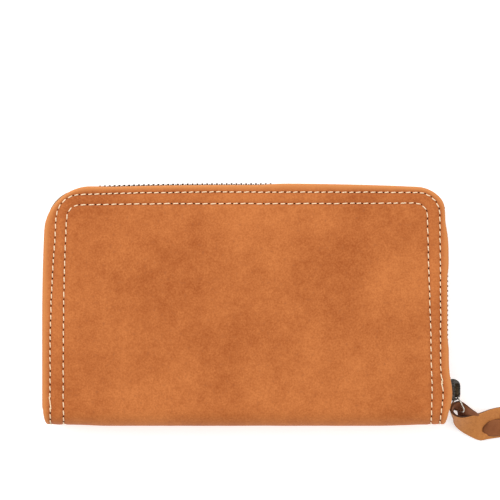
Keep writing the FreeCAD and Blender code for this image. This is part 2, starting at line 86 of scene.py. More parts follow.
def hump(value: float, middle: float, width: float) -> float:
    """A soft bump of height 1 at the middle."""
    return math.exp(-(((value - middle) / width) ** 2))


def box_mm(node: str) -> tuple[Vector, Vector]:
    """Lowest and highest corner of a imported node, in millimetres."""
    low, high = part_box(node)
    return Vector(low) / MM, Vector(high) / MM


def rounded_distance(x: float, y: float, half_x: float, half_y: float, radius: float) -> float:
    """How far a point is outside a rounded rectangle that is centred on zero.

    Args:
        x: place across.
        y: place along.
        half_x: half the width.
        half_y: half the length.
        radius: corner radius.

    Returns:
        The distance, negative inside.
    """
    qx, qy = abs(x) - half_x + radius, abs(y) - half_y + radius
    return math.hypot(max(qx, 0.0), max(qy, 0.0)) + min(max(qx, qy), 0.0) - radius


class Side(Enum):
    """The two covers."""

    BACK = "back"
    FRONT = "front"

    @property
    def body(self) -> str:
        """Name of the moving body that this cover is."""
        return f"{self.value}_cover"


class MeshPile:
    """Collects points and faces, in millimetres, and makes one piece of them.

    Its marks hold a value for each point, such as how much painted highlight with wear, and how much painted
    shade, the leather gets there.
    """

    def __init__(self) -> None:
        """Starts with nothing in it."""
        self.points: list[Triple] = []
        self.faces: list[Face] = []
        self.marks: dict[str, list[float]] = {}

    def add(self, points: Iterable[Sequence[float]], faces: Iterable[Face]) -> None:
        """Adds a set of points and the faces between them.

        Args:
            points: the points.
            faces: the faces, each numbered from the first of these points.
        """
        base = len(self.points)
        self.points.extend(tuple(p) for p in points)
        self.faces.extend(tuple(base + i for i in face) for face in faces)

    def tube(self, spine: Sequence[Vector], radii: Sequence[float], sides: int, up: Vector) -> None:
        """Adds a closed round tube along a line.

        Args:
            spine: the points that it follows.
            radii: its radius at each point.
            sides: how many sides it has round about.
            up: a direction that isn't along the line.
        """
        rings, count = [], len(spine)
        for i, centre in enumerate(spine):
            ahead = (spine[min(i + 1, count - 1)] - spine[max(i - 1, 0)]).normalized()
            across = ahead.cross(up).normalized()
            lift = across.cross(ahead)
            for k in range(sides):
                a = 2 * math.pi * k / sides
                rings.append(centre + (across * math.cos(a) + lift * math.sin(a)) * radii[i])
        faces = [tuple(reversed(range(sides)))]
        for i in range(count - 1):
            for k in range(sides):
                a, b = i * sides + k, i * sides + (k + 1) % sides
                faces.append((a, b, b + sides, a + sides))
        faces.append(tuple(range((count - 1) * sides, count * sides)))
        self.add(rings, faces)

    def prism(self, outline: Sequence[Pair], low: float, high: float, edge: float = 0.12) -> None:
        """Adds a flat sheet with softened upper and lower edges.

        Args:
            outline: its corners, anticlockwise, in X and Y.
            low: its underside.
            high: its top.
            edge: how far its edges are softened.
        """
        count = len(outline)
        normals = []
        for i in range(count):
            before, after = Vector(outline[i - 1]), Vector(outline[(i + 1) % count])
            way = after - before
            normals.append(Vector((way.y, -way.x)).normalized())
        levels = [(low, edge), (low + edge, 0.0), (high - edge, 0.0), (high, edge)]
        points = [
            (corner[0] - normal.x * inset, corner[1] - normal.y * inset, z)
            for z, inset in levels
            for corner, normal in zip(outline, normals)
        ]
        faces = [tuple(reversed(range(count))), tuple(range(3 * count, 4 * count))]
        for level in range(3):
            for k in range(count):
                a, b = level * count + k, level * count + (k + 1) % count
                faces.append((a, b, b + count, a + count))
        self.add(points, faces)

    def piece(self, name: str, material: Material, sharp: float = 35.0) -> Piece:
        """Makes the collected mesh into one piece.

        Args:
            name: the piece's name.
            material: its finish.
            sharp: edges that turn more than this many degrees stay crisp.

        Returns:
            The new object.
        """
        mesh = bpy.data.meshes.new(name)
        mesh.from_pydata([(x * MM, y * MM, z * MM) for x, y, z in self.points], [], self.faces)
        mesh.update()
        for mark, values in self.marks.items():
            layer = mesh.attributes.new(mark, "FLOAT", "POINT")
            layer.data.foreach_set("value", values)
        work = bmesh.new()
        work.from_mesh(mesh)
        bmesh.ops.recalc_face_normals(work, faces=work.faces)
        work.to_mesh(mesh)
        work.free()
        mesh.shade_smooth()
        mesh.set_sharp_from_angle(angle=math.radians(sharp))
        mesh.materials.append(material)
        piece = bpy.data.objects.new(name, mesh)
        bpy.context.scene.collection.objects.link(piece)
        return piece


# ---------------------------------------------------------------- finishes


def linear(code: str) -> tuple[float, float, float, float]:
    """Turns an sRGB hex colour into the linear values that a shader takes.

    Args:
        code: the colour, a hash and six hex digits.

    Returns:
        Linear red, green and blue, and an alpha of 1.
    """
    parts = [int(code[i : i + 2], 16) / 255 for i in (1, 3, 5)]
    red, green, blue = (c / 12.92 if c <= 0.04045 else ((c + 0.055) / 1.055) ** 2.4 for c in parts)
    return red, green, blue, 1.0


def per_mm(size: float) -> float:
    """The pattern scale, in repeats per metre, of a feature of that size in millimetres."""
    return 1.0 / (size * MM)


WAVE_TURN = 2 * math.pi / 20  # a wave texture's scale for one band per unit


def add_node(tree: Tree, kind: str, settings: Settings, links: Links) -> bpy.types.Node:
    """Adds one node to a material.

    Args:
        tree: the material's node tree.
        kind: the node's type.
        settings: values of its properties, or of its inputs by name or number.
        links: the sockets that feed its inputs, by name or number.

    Returns:
        The new node.
    """
    node = tree.nodes.new(kind)
    for key, value in settings.items():
        if isinstance(key, int) or key in node.inputs:
            node.inputs[key].default_value = value
        else:
            setattr(node, key, value)
    for key, socket in links.items():
        tree.links.new(socket, node.inputs[key])
    return node


def blank_material(name: str) -> tuple[Material, Tree, Socket]:
    """A new material that holds only its place on the object.

    Args:
        name: the material's name.

    Returns:
        The material, its node tree, and the socket that gives the place.
    """
    material = bpy.data.materials.new(name)
    material.use_nodes = True
    tree = material.node_tree
    tree.nodes.clear()
    return material, tree, add_node(tree, "ShaderNodeTexCoord", {}, {}).outputs["Object"]


def close_tree(tree: Tree, relief: tuple[float, float, Socket], surface: Settings, links: Links) -> None:
    """Ends a material in its relief, its surface shader and its output.

    Args:
        tree: the material's node tree.
        relief: the relief's strength, its depth in millimetres, and the pattern that it follows.
        surface: constant values of the surface shader.
        links: the patterns that feed the surface shader.
    """
    strength, depth, height = relief
    depths = {"Strength": strength, "Distance": depth * MM}
    bump = add_node(tree, "ShaderNodeBump", depths, {"Height": height})
    fed = {**links, "Normal": bump.outputs["Normal"]}
    shader = add_node(tree, "ShaderNodeBsdfPrincipled", surface, fed)
    add_node(tree, "ShaderNodeOutputMaterial", {}, {"Surface": shader.outputs["BSDF"]})


@dataclass(frozen=True)
class PullUpLeather:
    """Vegetable-tanned cowhide, waxed and lightly buffed.

    The eye sees a soft, nearly matt tan with cloudy lighter and darker places where the wax has
    moved, a fine pebbled grain, a few dark pores, a painted highlight with some wear on its rolled
    edges, and painted shade in its stitched grooves.
    """

    name: str = "pull_up_leather_tan"
    light: str = "#CA783D"
    dark: str = "#A0501A"
    pore: str = "#8A441D"
    # the paler tone of the rolled edges: a painted highlight, with some real wear
    wear_and_sheen_tone: str = "#CE8348"
    # the painted shade that darkens the stitched grooves
    groove_shade_tone: str = "#9A4F22"
    cloud_mm: float = 36.0
    mottle_mm: float = 4.5
    grain_mm: float = 0.8  # about twice as coarse as real grain, which is too fine to show
    pore_mm: float = 1.6  # drawn coarser than real pores for the same reason
    mottle_share: float = 0.4
    tones: Pair = (0.86, 1.52)  # how much of the three patterns gives the dark and the light tone
    pore_tones: Pair = (0.6, 0.78)
    roughness: float = 0.66

    def material(self) -> Material:
        """Builds the leather.

        Returns:
            The finished material.
        """
        material, tree, place = blank_material(self.name)
        sizes = ((self.cloud_mm, 3.0, 0.55), (self.mottle_mm, 5.0, 0.62), (self.grain_mm, 3.0, 0.6))
        cloud, mottle, grain, pores = (
            add_node(
                tree,
                "ShaderNodeTexNoise",
                {"Scale": per_mm(size), "Detail": detail, "Roughness": rough},
                {"Vector": place},
            ).outputs["Fac"]
            for size, detail, rough in (*sizes, (self.pore_mm, 2.0, 0.5))
        )
        patches = add_node(
            tree, "ShaderNodeMath", {"operation": "MULTIPLY_ADD", 1: self.mottle_share}, {0: mottle, 2: cloud}
        )
        blend = add_node(tree, "ShaderNodeMath", {"operation": "ADD"}, {0: grain, 1: patches.outputs[0]})
        ranges = ((self.tones, 1.0, blend.outputs[0]), (self.pore_tones, 0.5, pores))
        tone, pore_spots = (
            add_node(
                tree,
                "ShaderNodeMapRange",
                {"From Min": low, "From Max": high, "To Max": top},
                {"Value": value},
            ).outputs[0]
            for (low, high), top, value in ranges
        )
        wear_and_sheen, groove_shade = (
            add_node(tree, "ShaderNodeAttribute", {"attribute_name": mark}, {}).outputs["Fac"]
            for mark in ("wear_and_sheen", "groove_shade")
        )
        body = {"data_type": "RGBA", 6: linear(self.dark), 7: linear(self.light)}
        colour = add_node(tree, "ShaderNodeMix", body, {0: tone}).outputs[2]
        # mixes in the pores, the painted highlight with some wear on the rolled edges, and the painted shade
        # in the stitched grooves
        for over, share in ((self.pore, pore_spots), (self.wear_and_sheen_tone, wear_and_sheen), (self.groove_shade_tone, groove_shade)):
            laid = {"data_type": "RGBA", 7: linear(over)}
            colour = add_node(tree, "ShaderNodeMix", laid, {0: share, 6: colour}).outputs[2]
        pebbles = {"operation": "MULTIPLY_ADD", 1: 1.6}
        height = add_node(tree, "ShaderNodeMath", pebbles, {0: mottle, 2: grain})
        glossy = {"To Min": self.roughness - 0.08, "To Max": self.roughness + 0.1}
        gloss = add_node(tree, "ShaderNodeMapRange", glossy, {"Value": cloud})
        close_tree(
            tree,
            (0.42, 0.12, height.outputs[0]),
            {"Specular IOR Level": 0.22, "Sheen Weight": 0.03, "Sheen Roughness": 0.5},
            {"Base Color": colour, "Roughness": gloss.outputs[0]},
        )
        return material


@dataclass(frozen=True)
class TwoTone:
    """What the simpler finishes share: a pattern that runs between two tones and stands in low relief."""

    name: str
    light: str
    dark: str
    relief: ClassVar[Pair] = (0.3, 0.05)  # its strength, and its depth in millimetres

    def pattern(self, tree: Tree, place: Socket) -> tuple[Socket, Socket, Links]:
        """Draws the pattern. Each finish has its own.

        Args:
            tree: the material's node tree.
            place: the socket that gives the place on the object.

        Returns:
            What runs between the tones, what stands in relief, and anything else that varies.
        """
        raise NotImplementedError

    def surface(self) -> Settings:
        """Constant values of the surface shader. Each finish has its own."""
        raise NotImplementedError

    def material(self) -> Material:
        """Builds the finish.

        Returns:
            The finished material.
        """
        material, tree, place = blank_material(self.name)
        share, height, links = self.pattern(tree, place)
        tones = {"data_type": "RGBA", 6: linear(self.dark), 7: linear(self.light)}
        colour = add_node(tree, "ShaderNodeMix", tones, {0: share})
        close_tree(tree, (*self.relief, height), self.surface(), {"Base Color": colour.outputs[2], **links})
        return material


@dataclass(frozen=True)
class FleshSide(TwoTone):
    """The raw inner face of a strip of hide, or a dark brown cut edge: brown, fibrous and quite matt."""

    relief: ClassVar[Pair] = (0.6, 0.12)
    fibre_mm: float = 0.6  # real fibres are finer, too fine to show
    cloud_mm: float = 7.0
    drawn_out: float = 0.35  # the fibres are longer across the model than they are wide

    def pattern(self, tree: Tree, place: Socket) -> tuple[Socket, Socket, Links]:
        """Draws long fibres over faint clouds.

        Args:
            tree: the material's node tree.
            place: the socket that gives the place on the object.

        Returns:
            The tone, the fibres, and nothing else.
        """
        along = add_node(tree, "ShaderNodeMapping", {"Scale": (self.drawn_out, 1.0, 1.0)}, {"Vector": place})
        strands = {"Scale": per_mm(self.fibre_mm), "Detail": 5.0, "Roughness": 0.7}
        fibre = add_node(tree, "ShaderNodeTexNoise", strands, {"Vector": along.outputs[0]}).outputs["Fac"]
        clouds = {"Scale": per_mm(self.cloud_mm), "Detail": 2.0}
        cloud = add_node(tree, "ShaderNodeTexNoise", clouds, {"Vector": place}).outputs["Fac"]
        both = add_node(tree, "ShaderNodeMath", {"operation": "MULTIPLY_ADD", 1: 0.6}, {0: fibre, 2: cloud})
        limits = {"From Min": 0.55, "From Max": 1.05}
        tone = add_node(tree, "ShaderNodeMapRange", limits, {"Value": both.outputs[0]})
        return tone.outputs[0], fibre, {}

    def surface(self) -> Settings:
        """Matt, with the faint sheen of loose fibres."""
        return {"Roughness": 0.85, "Specular IOR Level": 0.2, "Sheen Weight": 0.15}


@dataclass(frozen=True)
class WaxedThread(TwoTone):
    """Twisted linen thread, waxed: slightly glossy, with the twist as fine slanting ribs."""

    relief: ClassVar[Pair] = (0.35, 0.06)
    twist_mm: float = 0.5  # about as long as the thread is thick

    def pattern(self, tree: Tree, place: Socket) -> tuple[Socket, Socket, Links]:
        """Draws the twist.

        Args:
            tree: the material's node tree.
            place: the socket that gives the place on the object.

        Returns:
            The ribs twice, and nothing else.
        """
        ribs = {"bands_direction": "DIAGONAL", "Scale": per_mm(self.twist_mm) * WAVE_TURN, "Distortion": 1.5}
        twist = add_node(tree, "ShaderNodeTexWave", ribs, {"Vector": place}).outputs["Fac"]
        return twist, twist, {}

    def surface(self) -> Settings:
        """The low gloss of wax."""
        return {"Roughness": 0.55, "Specular IOR Level": 0.4, "Sheen Weight": 0.2}


@dataclass(frozen=True)
class Metal(TwoTone):
    """Plated or polished metal. Tumbling and handling leave fine wear that varies the gloss."""

    roughness: float
    relief: ClassVar[Pair] = (0.12, 0.03)
    wear_mm: float = 1.2

    def pattern(self, tree: Tree, place: Socket) -> tuple[Socket, Socket, Links]:
        """Draws the wear, and the gloss that goes with it.

        Args:
            tree: the material's node tree.
            place: the socket that gives the place on the object.

        Returns:
            The tone, the wear, and the roughness.
        """
        fine = {"Scale": per_mm(self.wear_mm), "Detail": 5.0, "Roughness": 0.65}
        wear_and_sheen = add_node(tree, "ShaderNodeTexNoise", fine, {"Vector": place}).outputs["Fac"]
        limits = {"From Min": 0.38, "From Max": 0.66}
        tone = add_node(tree, "ShaderNodeMapRange", limits, {"Value": wear_and_sheen}).outputs[0]
        glossy = {"To Min": self.roughness + 0.08, "To Max": self.roughness - 0.06}
        gloss = add_node(tree, "ShaderNodeMapRange", glossy, {"Value": tone})
        return tone, wear_and_sheen, {"Roughness": gloss.outputs[0]}

    def surface(self) -> Settings:
        """Bare metal."""
        return {"Metallic": 1.0}


@dataclass(frozen=True)
class Woven(TwoTone):
    """Woven cloth: twill lining, or the slanting weave of a zip's polyester tape."""

    rib_mm: float
    relief: ClassVar[Pair] = (0.5, 0.1)
    fluff_mm: float = 9.0
    roughness: float = 0.8

    def pattern(self, tree: Tree, place: Socket) -> tuple[Socket, Socket, Links]:
        """Draws crossing ribs over a faint unevenness.

        Args:
            tree: the material's node tree.
            place: the socket that gives the place on the object.

        Returns:
            The tone, the weave, and nothing else.
        """
        ribs = []
        for flip, waver in ((1.0, 0.4), (-1.0, 0.6)):
            turned = add_node(tree, "ShaderNodeMapping", {"Scale": (1.0, flip, 1.0)}, {"Vector": place})
            scale = per_mm(self.rib_mm) * WAVE_TURN
            bands = {"bands_direction": "DIAGONAL", "Scale": scale, "Distortion": waver}
            wave = add_node(tree, "ShaderNodeTexWave", bands, {"Vector": turned.outputs[0]})
            ribs.append(wave.outputs["Fac"])
        weave = add_node(tree, "ShaderNodeMath", {"operation": "MULTIPLY"}, dict(enumerate(ribs))).outputs[0]
        uneven = {"Scale": per_mm(self.fluff_mm), "Detail": 4.0}
        fluff = add_node(tree, "ShaderNodeTexNoise", uneven, {"Vector": place}).outputs["Fac"]
        both = add_node(tree, "ShaderNodeMath", {"operation": "MULTIPLY_ADD", 1: 0.8}, {0: weave, 2: fluff})
        limits = {"From Min": 0.35, "From Max": 1.2}
        tone = add_node(tree, "ShaderNodeMapRange", limits, {"Value": both.outputs[0]})
        return tone.outputs[0], weave, {}

    def surface(self) -> Settings:
        """Dull, with the sheen of fibres seen edge on."""
        return {"Roughness": self.roughness, "Specular IOR Level": 0.25, "Sheen Weight": 0.25}


@dataclass(frozen=True)
class Plain(TwoTone):
    """Board, felt, moulded nylon and shadowed holes: matt, with a faint cloudiness and grain."""

    roughness: float = 0.8
    grain_mm: float = 0.8  # coarser than the real surfaces, whose own is too fine to show
    glow: float = 0.0  # light from behind, for a lit table

    def pattern(self, tree: Tree, place: Socket) -> tuple[Socket, Socket, Links]:
        """Draws the grain.

        Args:
            tree: the material's node tree.
            place: the socket that gives the place on the object.

        Returns:
            The grain twice, and nothing else.
        """
        fine = {"Scale": per_mm(self.grain_mm), "Detail": 5.0, "Roughness": 0.6}
        grain = add_node(tree, "ShaderNodeTexNoise", fine, {"Vector": place}).outputs["Fac"]
        return grain, grain, {}

    def surface(self) -> Settings:
        """Matt, and lit from behind where it glows."""
        lit = {"Emission Color": linear("#FFFFFF"), "Emission Strength": self.glow}
        return {"Roughness": self.roughness, "Specular IOR Level": 0.3, **lit}


class Palette:
    """Every finish of the wallet, made once."""

    def __init__(self) -> None:
        """Makes the finishes. All the colours are sRGB."""
        self.leather = PullUpLeather().material()
        # the strap's paler edge tone is a painted highlight along its edges
        tan = PullUpLeather(
            "strap_leather_tan", "#C98444", "#B06A32", wear_and_sheen_tone="#D39154", mottle_mm=2.0, roughness=0.5
        )
        self.strap = tan.material()
        brown = PullUpLeather(
            "card_leather_brown", "#B26B3D", "#A25D32", wear_and_sheen_tone="#C98552", cloud_mm=18.0, roughness=0.55
        )
        self.inner_leather = brown.material()
        self.flesh = FleshSide("leather_flesh_side", "#965C36", "#7A4526").material()
        # the strap's cut edges and the outermost strip of its faces, drawn dark brown
        self.dark_edge = FleshSide("leather_dark_edge", "#6B3F22", "#452511").material()
        # thread: cream stitches that stand out from the tan, and browner ones that sink into it
        self.thread = WaxedThread("linen_thread_cream", "#FFE9C8", "#EBCB9F").material()
        self.brown_thread = WaxedThread("linen_thread_brown", "#B98A58", "#94683C").material()
        self.hole = Plain("needle_hole_shadow", "#221008", "#150904", roughness=0.95).material()
        # metals: dark castings with soft highlights, dull brown teeth, and one bright line of wire
        self.gunmetal = Metal("gunmetal_plate", "#6E6963", "#2E2B28", 0.32).material()
        self.teeth = Metal("antique_brass_teeth", "#5E503D", "#2A231C", 0.38, wear_mm=0.8).material()
        self.wire = Metal("polished_steel_wire", "#D8D3C8", "#9C968B", 0.2).material()
        # cloth: the tape's slanting weave is deep brown, the lining's twill is paler and dusty; both
        # ribs are drawn about twice as coarse as real ones, which are too fine to show
        self.tape = Woven("zip_tape_polyester", "#5A3A25", "#2E1B10", rib_mm=0.9).material()
        self.lining = Woven("lining_cotton_twill", "#7A5A41", "#553B29", rib_mm=0.8).material()
        # inside: a faintly glossy dark coil, drab brown board, and off-white felt with no gloss
        self.nylon = Plain("zip_coil_nylon", "#4A2E1C", "#3A2315", roughness=0.45).material()
        self.board = Plain("fibre_board", "#A08A6C", "#86715A", roughness=0.9).material()
        self.felt = Plain("wool_felt_padding", "#CFC8BA", "#B5AD9E", roughness=0.95).material()


# ---------------------------------------------------------------- the wallet's shape


@dataclass
class Wallet:
    """Overall sizes, and the slight irregularities that the leather and the zip share."""

    half_width: float
    half_height: float
    thickness: float
    fold_radius: float = 7.0
    corner_left: float = 20.0
    corner_right: float = 14.0
    barrel_left: float = 2.0  # how much narrower the zipped edge is, on the left
    barrel_right: float = 0.45
    barrel_start: float = -8.0  # where the sides begin to lean in
    pinch: float = 1.4  # how far the right side is drawn in just below its corner
    pinch_y: float = 42.0
    pinch_reach: Pair = (7.5, 5.0)  # how far from there, for the leather and for the zip
    pinch_start: float = 91.5
    bow: float = 2.25  # how far the zipped edge falls away at its ends
    bow_power: float = 2.4  # how suddenly it does
    taper: float = 1.5  # how much narrower the spine is, each side
    taper_start: float = 102.0
    slider_bulge: float = 1.6  # how far the leather is pushed out over the slider
    slider_y: float = -41.0
    slider_reach: float = 7.5
    slider_start: float = 84.0
    edge_gape: float = 0.66  # how far the rolled edge stands back where the teeth show
    edge_cover: float = 0.3  # how far it covers them elsewhere
    top_gape: tuple[Pair, Pair] = ((-78.0, -60.0), (4.0, 20.0))  # where they come into sight and go, across
    side_gape: tuple[Pair, Pair] = ((-22.0, -14.0), (12.0, 20.0))  # and along the right side
    stretch: float = 1.009  # the soft covers lie a little longer than their pattern
    bend_start: float = 4.5  # how far in from each cover's face the spine bends

    @classmethod
    def from_frame(cls) -> "Wallet":
        """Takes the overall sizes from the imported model."""
        _, high = box_mm("cover_leather_front")
        return cls(half_width=high.x, half_height=high.y, thickness=high.z)

    @property
    def flat(self) -> float:
        """Length of a cover's flat, from its zipped edge to the fold."""
        return 2 * self.half_height - self.fold_radius

    @property
    def run(self) -> float:
        """Length of the leather from one zipped edge, round the spine, to the other."""
        return 2 * self.flat + math.pi * self.fold_radius + self.thickness - 2 * self.fold_radius

    def fold(self, s: float, depth: float) -> Pair:
        """Where a place on the leather's run comes to lie.

        Args:
            s: distance along the run from the back cover's zipped edge.
            depth: how far below the outer face it is.

        Returns:
            Its Y and Z.
        """
        if s > self.run / 2:
            y, z = self.fold(self.run - s, depth)
            return y, self.thickness - z
        r, low_y = self.fold_radius, self.fold_radius - self.half_height
        if s <= self.flat:
            return self.half_height - s, depth
        arc = s - self.flat
        if arc <= math.pi / 2 * r:
            a = arc / r
            return low_y - (r - depth) * math.sin(a), r - (r - depth) * math.cos(a)
        return depth - self.half_height, r + arc - math.pi / 2 * r

    def settle(self, x: float, y: float, taper: float = 0.0, bulge: bool = False) -> Pair:
        """Moves a place on the ideal outline to where the soft wallet has it.

        Args:
            x: place across.
            y: place along.
            taper: how much of the narrowing towards the spine it has, from 0 to 1.
            bulge: whether the slider pushes it out.

        Returns:
            The new X and Y.
        """
        share = x / self.half_width
        up = min(max((y - self.barrel_start) / (self.half_height - self.barrel_start), 0.0), 1.0)
        narrow = smooth(self.half_height - y, self.taper_start, self.run / 2)
        barrel = self.barrel_left if x < 0 else self.barrel_right if bulge else 0.0
        moved_x = x - share * (barrel * up * up + self.taper * taper * narrow)
        drawn_in = hump(y, self.pinch_y, self.pinch_reach[0 if bulge else 1])
        moved_x -= self.pinch * drawn_in * smooth(x, self.pinch_start, self.half_width)
        if bulge and x > 0:
            pushed = hump(y, self.slider_y, self.slider_reach) * smooth(x, self.slider_start, self.half_width)
            moved_x += self.slider_bulge * pushed
        fall = self.bow * abs(share) ** self.bow_power * min(max(y / self.half_height, 0.0), 1.0)
        return moved_x, (y - fall) * self.stretch

    def gape(self, x: float, y: float) -> float:
        """How far the rolled edge stands back from the teeth at a place on the outline.

        Args:
            x: place across.
            y: place along.

        Returns:
            The distance, negative where it covers them.
        """
        near, far = self.top_gape
        top = smooth(x, *near) * (1 - smooth(x, *far)) * smooth(y, 45, 52)
        near, far = self.side_gape
        side = smooth(x, 80, 90) * smooth(y, *near) * (1 - smooth(y, *far))
        return self.edge_gape * (top + side) - self.edge_cover

    def place(self, x: float, s: float, depth: float, taper: float = 1.0, bulge: bool = True) -> Vector:
        """The point at a place on the leather's run.

        Args:
            x: place across.
            s: distance along the run.
            depth: how far below the outer face.
            taper: share of the narrowing at the spine.
            bulge: whether the slider pushes it out.

        Returns:
            The point in the model's frame.
        """
        y, z = self.fold(s, depth)
        edge = min(s, self.run - s)
        moved_x, moved_y = self.settle(x, y, 0.0, bulge)
        moved_x -= x / self.half_width * self.taper * taper * smooth(edge, self.taper_start, self.run / 2)
        return Vector((moved_x, moved_y, z))

    def bend(self, piece: Piece) -> None:
        """Bakes a piece's placement into its mesh; it is not made to bend in the spine.

        Args:
            piece: the piece, which crosses the spine.
        """
        Side.BACK.body
        Side.FRONT.body
        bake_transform(piece)


@dataclass
class RoundedSheet:
    """A flat sheet with round corners, ringed along its edge and gridded inside.

    Places on it are (across, along), from its middle.
    """

    half_x: float
    half_y: float
    left: float
    right: float
    columns: int
    rows: int
    arc: int = 7

    def _side(self, start: Corner, end: Corner, inset: float, count: int) -> list[Pair]:
        """One side of a ring: half of a corner, a straight run and half of the next corner.

        Args:
            start: the half corner that it begins with: its centre, radius, and first and last angle.
            end: the half corner that it ends with.
            inset: how far inside the sheet's edge it runs.
            count: how many steps it has.

        Returns:
            Its points, with both ends.
        """
        points = []
        for (cx, cy, r, a0, a1), last in ((start, False), (end, True)):
            angles = [math.radians(a0 + (a1 - a0) * i / self.arc) for i in range(self.arc + 1)]
            steps = [(cx + (r - inset) * math.cos(a), cy + (r - inset) * math.sin(a)) for a in angles]
            if last:
                here, there = points[-1], steps[0]
                gap = count - 2 * self.arc
                points += [
                    (here[0] + (there[0] - here[0]) * i / gap, here[1] + (there[1] - here[1]) * i / gap)
                    for i in range(1, gap)
                ]
            points += steps
        return points

    def sides(self, inset: float) -> list[list[Pair]]:
        """The four sides of a ring, anticlockwise from the lowest, each with both its ends.

        Args:
            inset: how far inside the sheet's edge the ring runs.

        Returns:
            The sides' points.
        """
        x, y, lf, rt = self.half_x, self.half_y, self.left, self.right
        bl, br = (lf - x, lf - y, lf), (x - rt, rt - y, rt)
        tr, tl = (x - rt, y - rt, rt), (lf - x, y - lf, lf)
        return [
            self._side((*bl, 225, 270), (*br, 270, 315), inset, self.columns),
            self._side((*br, 315, 360), (*tr, 0, 45), inset, self.rows),
            self._side((*tr, 45, 90), (*tl, 90, 135), inset, self.columns),
            self._side((*tl, 135, 180), (*bl, 180, 225), inset, self.rows),
        ]

    def ring(self, inset: float) -> list[Pair]:
        """The closed ring of points at an inset from the edge."""
        return [p for side in self.sides(inset) for p in side[:-1]]

    def inside(self, inset: float) -> list[list[Pair]]:
        """The grid of points within a ring, whose own edge is the ring.

        Args:
            inset: how far inside the sheet's edge the ring runs.

        Returns:
            The rows of the grid, from the lowest up.
        """
        low, right, top, left = self.sides(inset)
        top, left = top[::-1], left[::-1]
        grid = []
        for j in range(self.rows + 1):
            t = j / self.rows
            row = []
            for i in range(self.columns + 1):
                s = i / self.columns
                row.append(
                    tuple(
                        (1 - t) * low[i][k] + t * top[i][k] + (1 - s) * left[j][k] + s * right[j][k]
                        - (1 - s) * (1 - t) * low[0][k] - s * (1 - t) * low[-1][k]
                        - (1 - s) * t * top[0][k] - s * t * top[-1][k]
                        for k in (0, 1)
                    )
                )
            grid.append(row)
        return grid

    def shell(
        self, section: Sequence[Pair], put: Callable[[float, float, float, float], Sequence[float]]
    ) -> MeshPile:
        """A closed sheet with thickness.

        Args:
            section: insets and depths, from the outer face, over the edge, to the inner face. Both
                faces are filled in from the section's two ends.
            put: gives the point for (across, along, depth, inset).

        Returns:
            The mesh.
        """
        pile = MeshPile()
        count = 2 * (self.columns + self.rows)
        points, faces = [], []
        for inset, depth in section:
            points += [put(x, y, depth, inset) for x, y in self.ring(inset)]
        for level in range(len(section) - 1):
            for k in range(count):
                a, b = level * count + k, level * count + (k + 1) % count
                faces.append((a, b, b + count, a + count))
        around = [(i, 0) for i in range(self.columns)]
        around += [(self.columns, j) for j in range(self.rows)]
        around += [(i, self.rows) for i in range(self.columns, 0, -1)]
        around += [(0, j) for j in range(self.rows, 0, -1)]
        for (inset, depth), first in ((section[0], 0), (section[-1], (len(section) - 1) * count)):
            index = {cell: first + k for k, cell in enumerate(around)}
            grid = self.inside(inset)
            for j in range(1, self.rows):
                for i in range(1, self.columns):
                    index[(i, j)] = len(points)
                    x, y = grid[j][i]
                    deep = -rounded_distance(x, y, self.half_x, self.half_y, (self.left + self.right) / 2)
                    points.append(put(x, y, depth, max(deep, inset)))
            for j in range(self.rows):
                for i in range(self.columns):
                    corners = ((i, j), (i + 1, j), (i + 1, j + 1), (i, j + 1))
                    faces.append(tuple(index[cell] for cell in corners))
        pile.add(points, faces)
        return pile


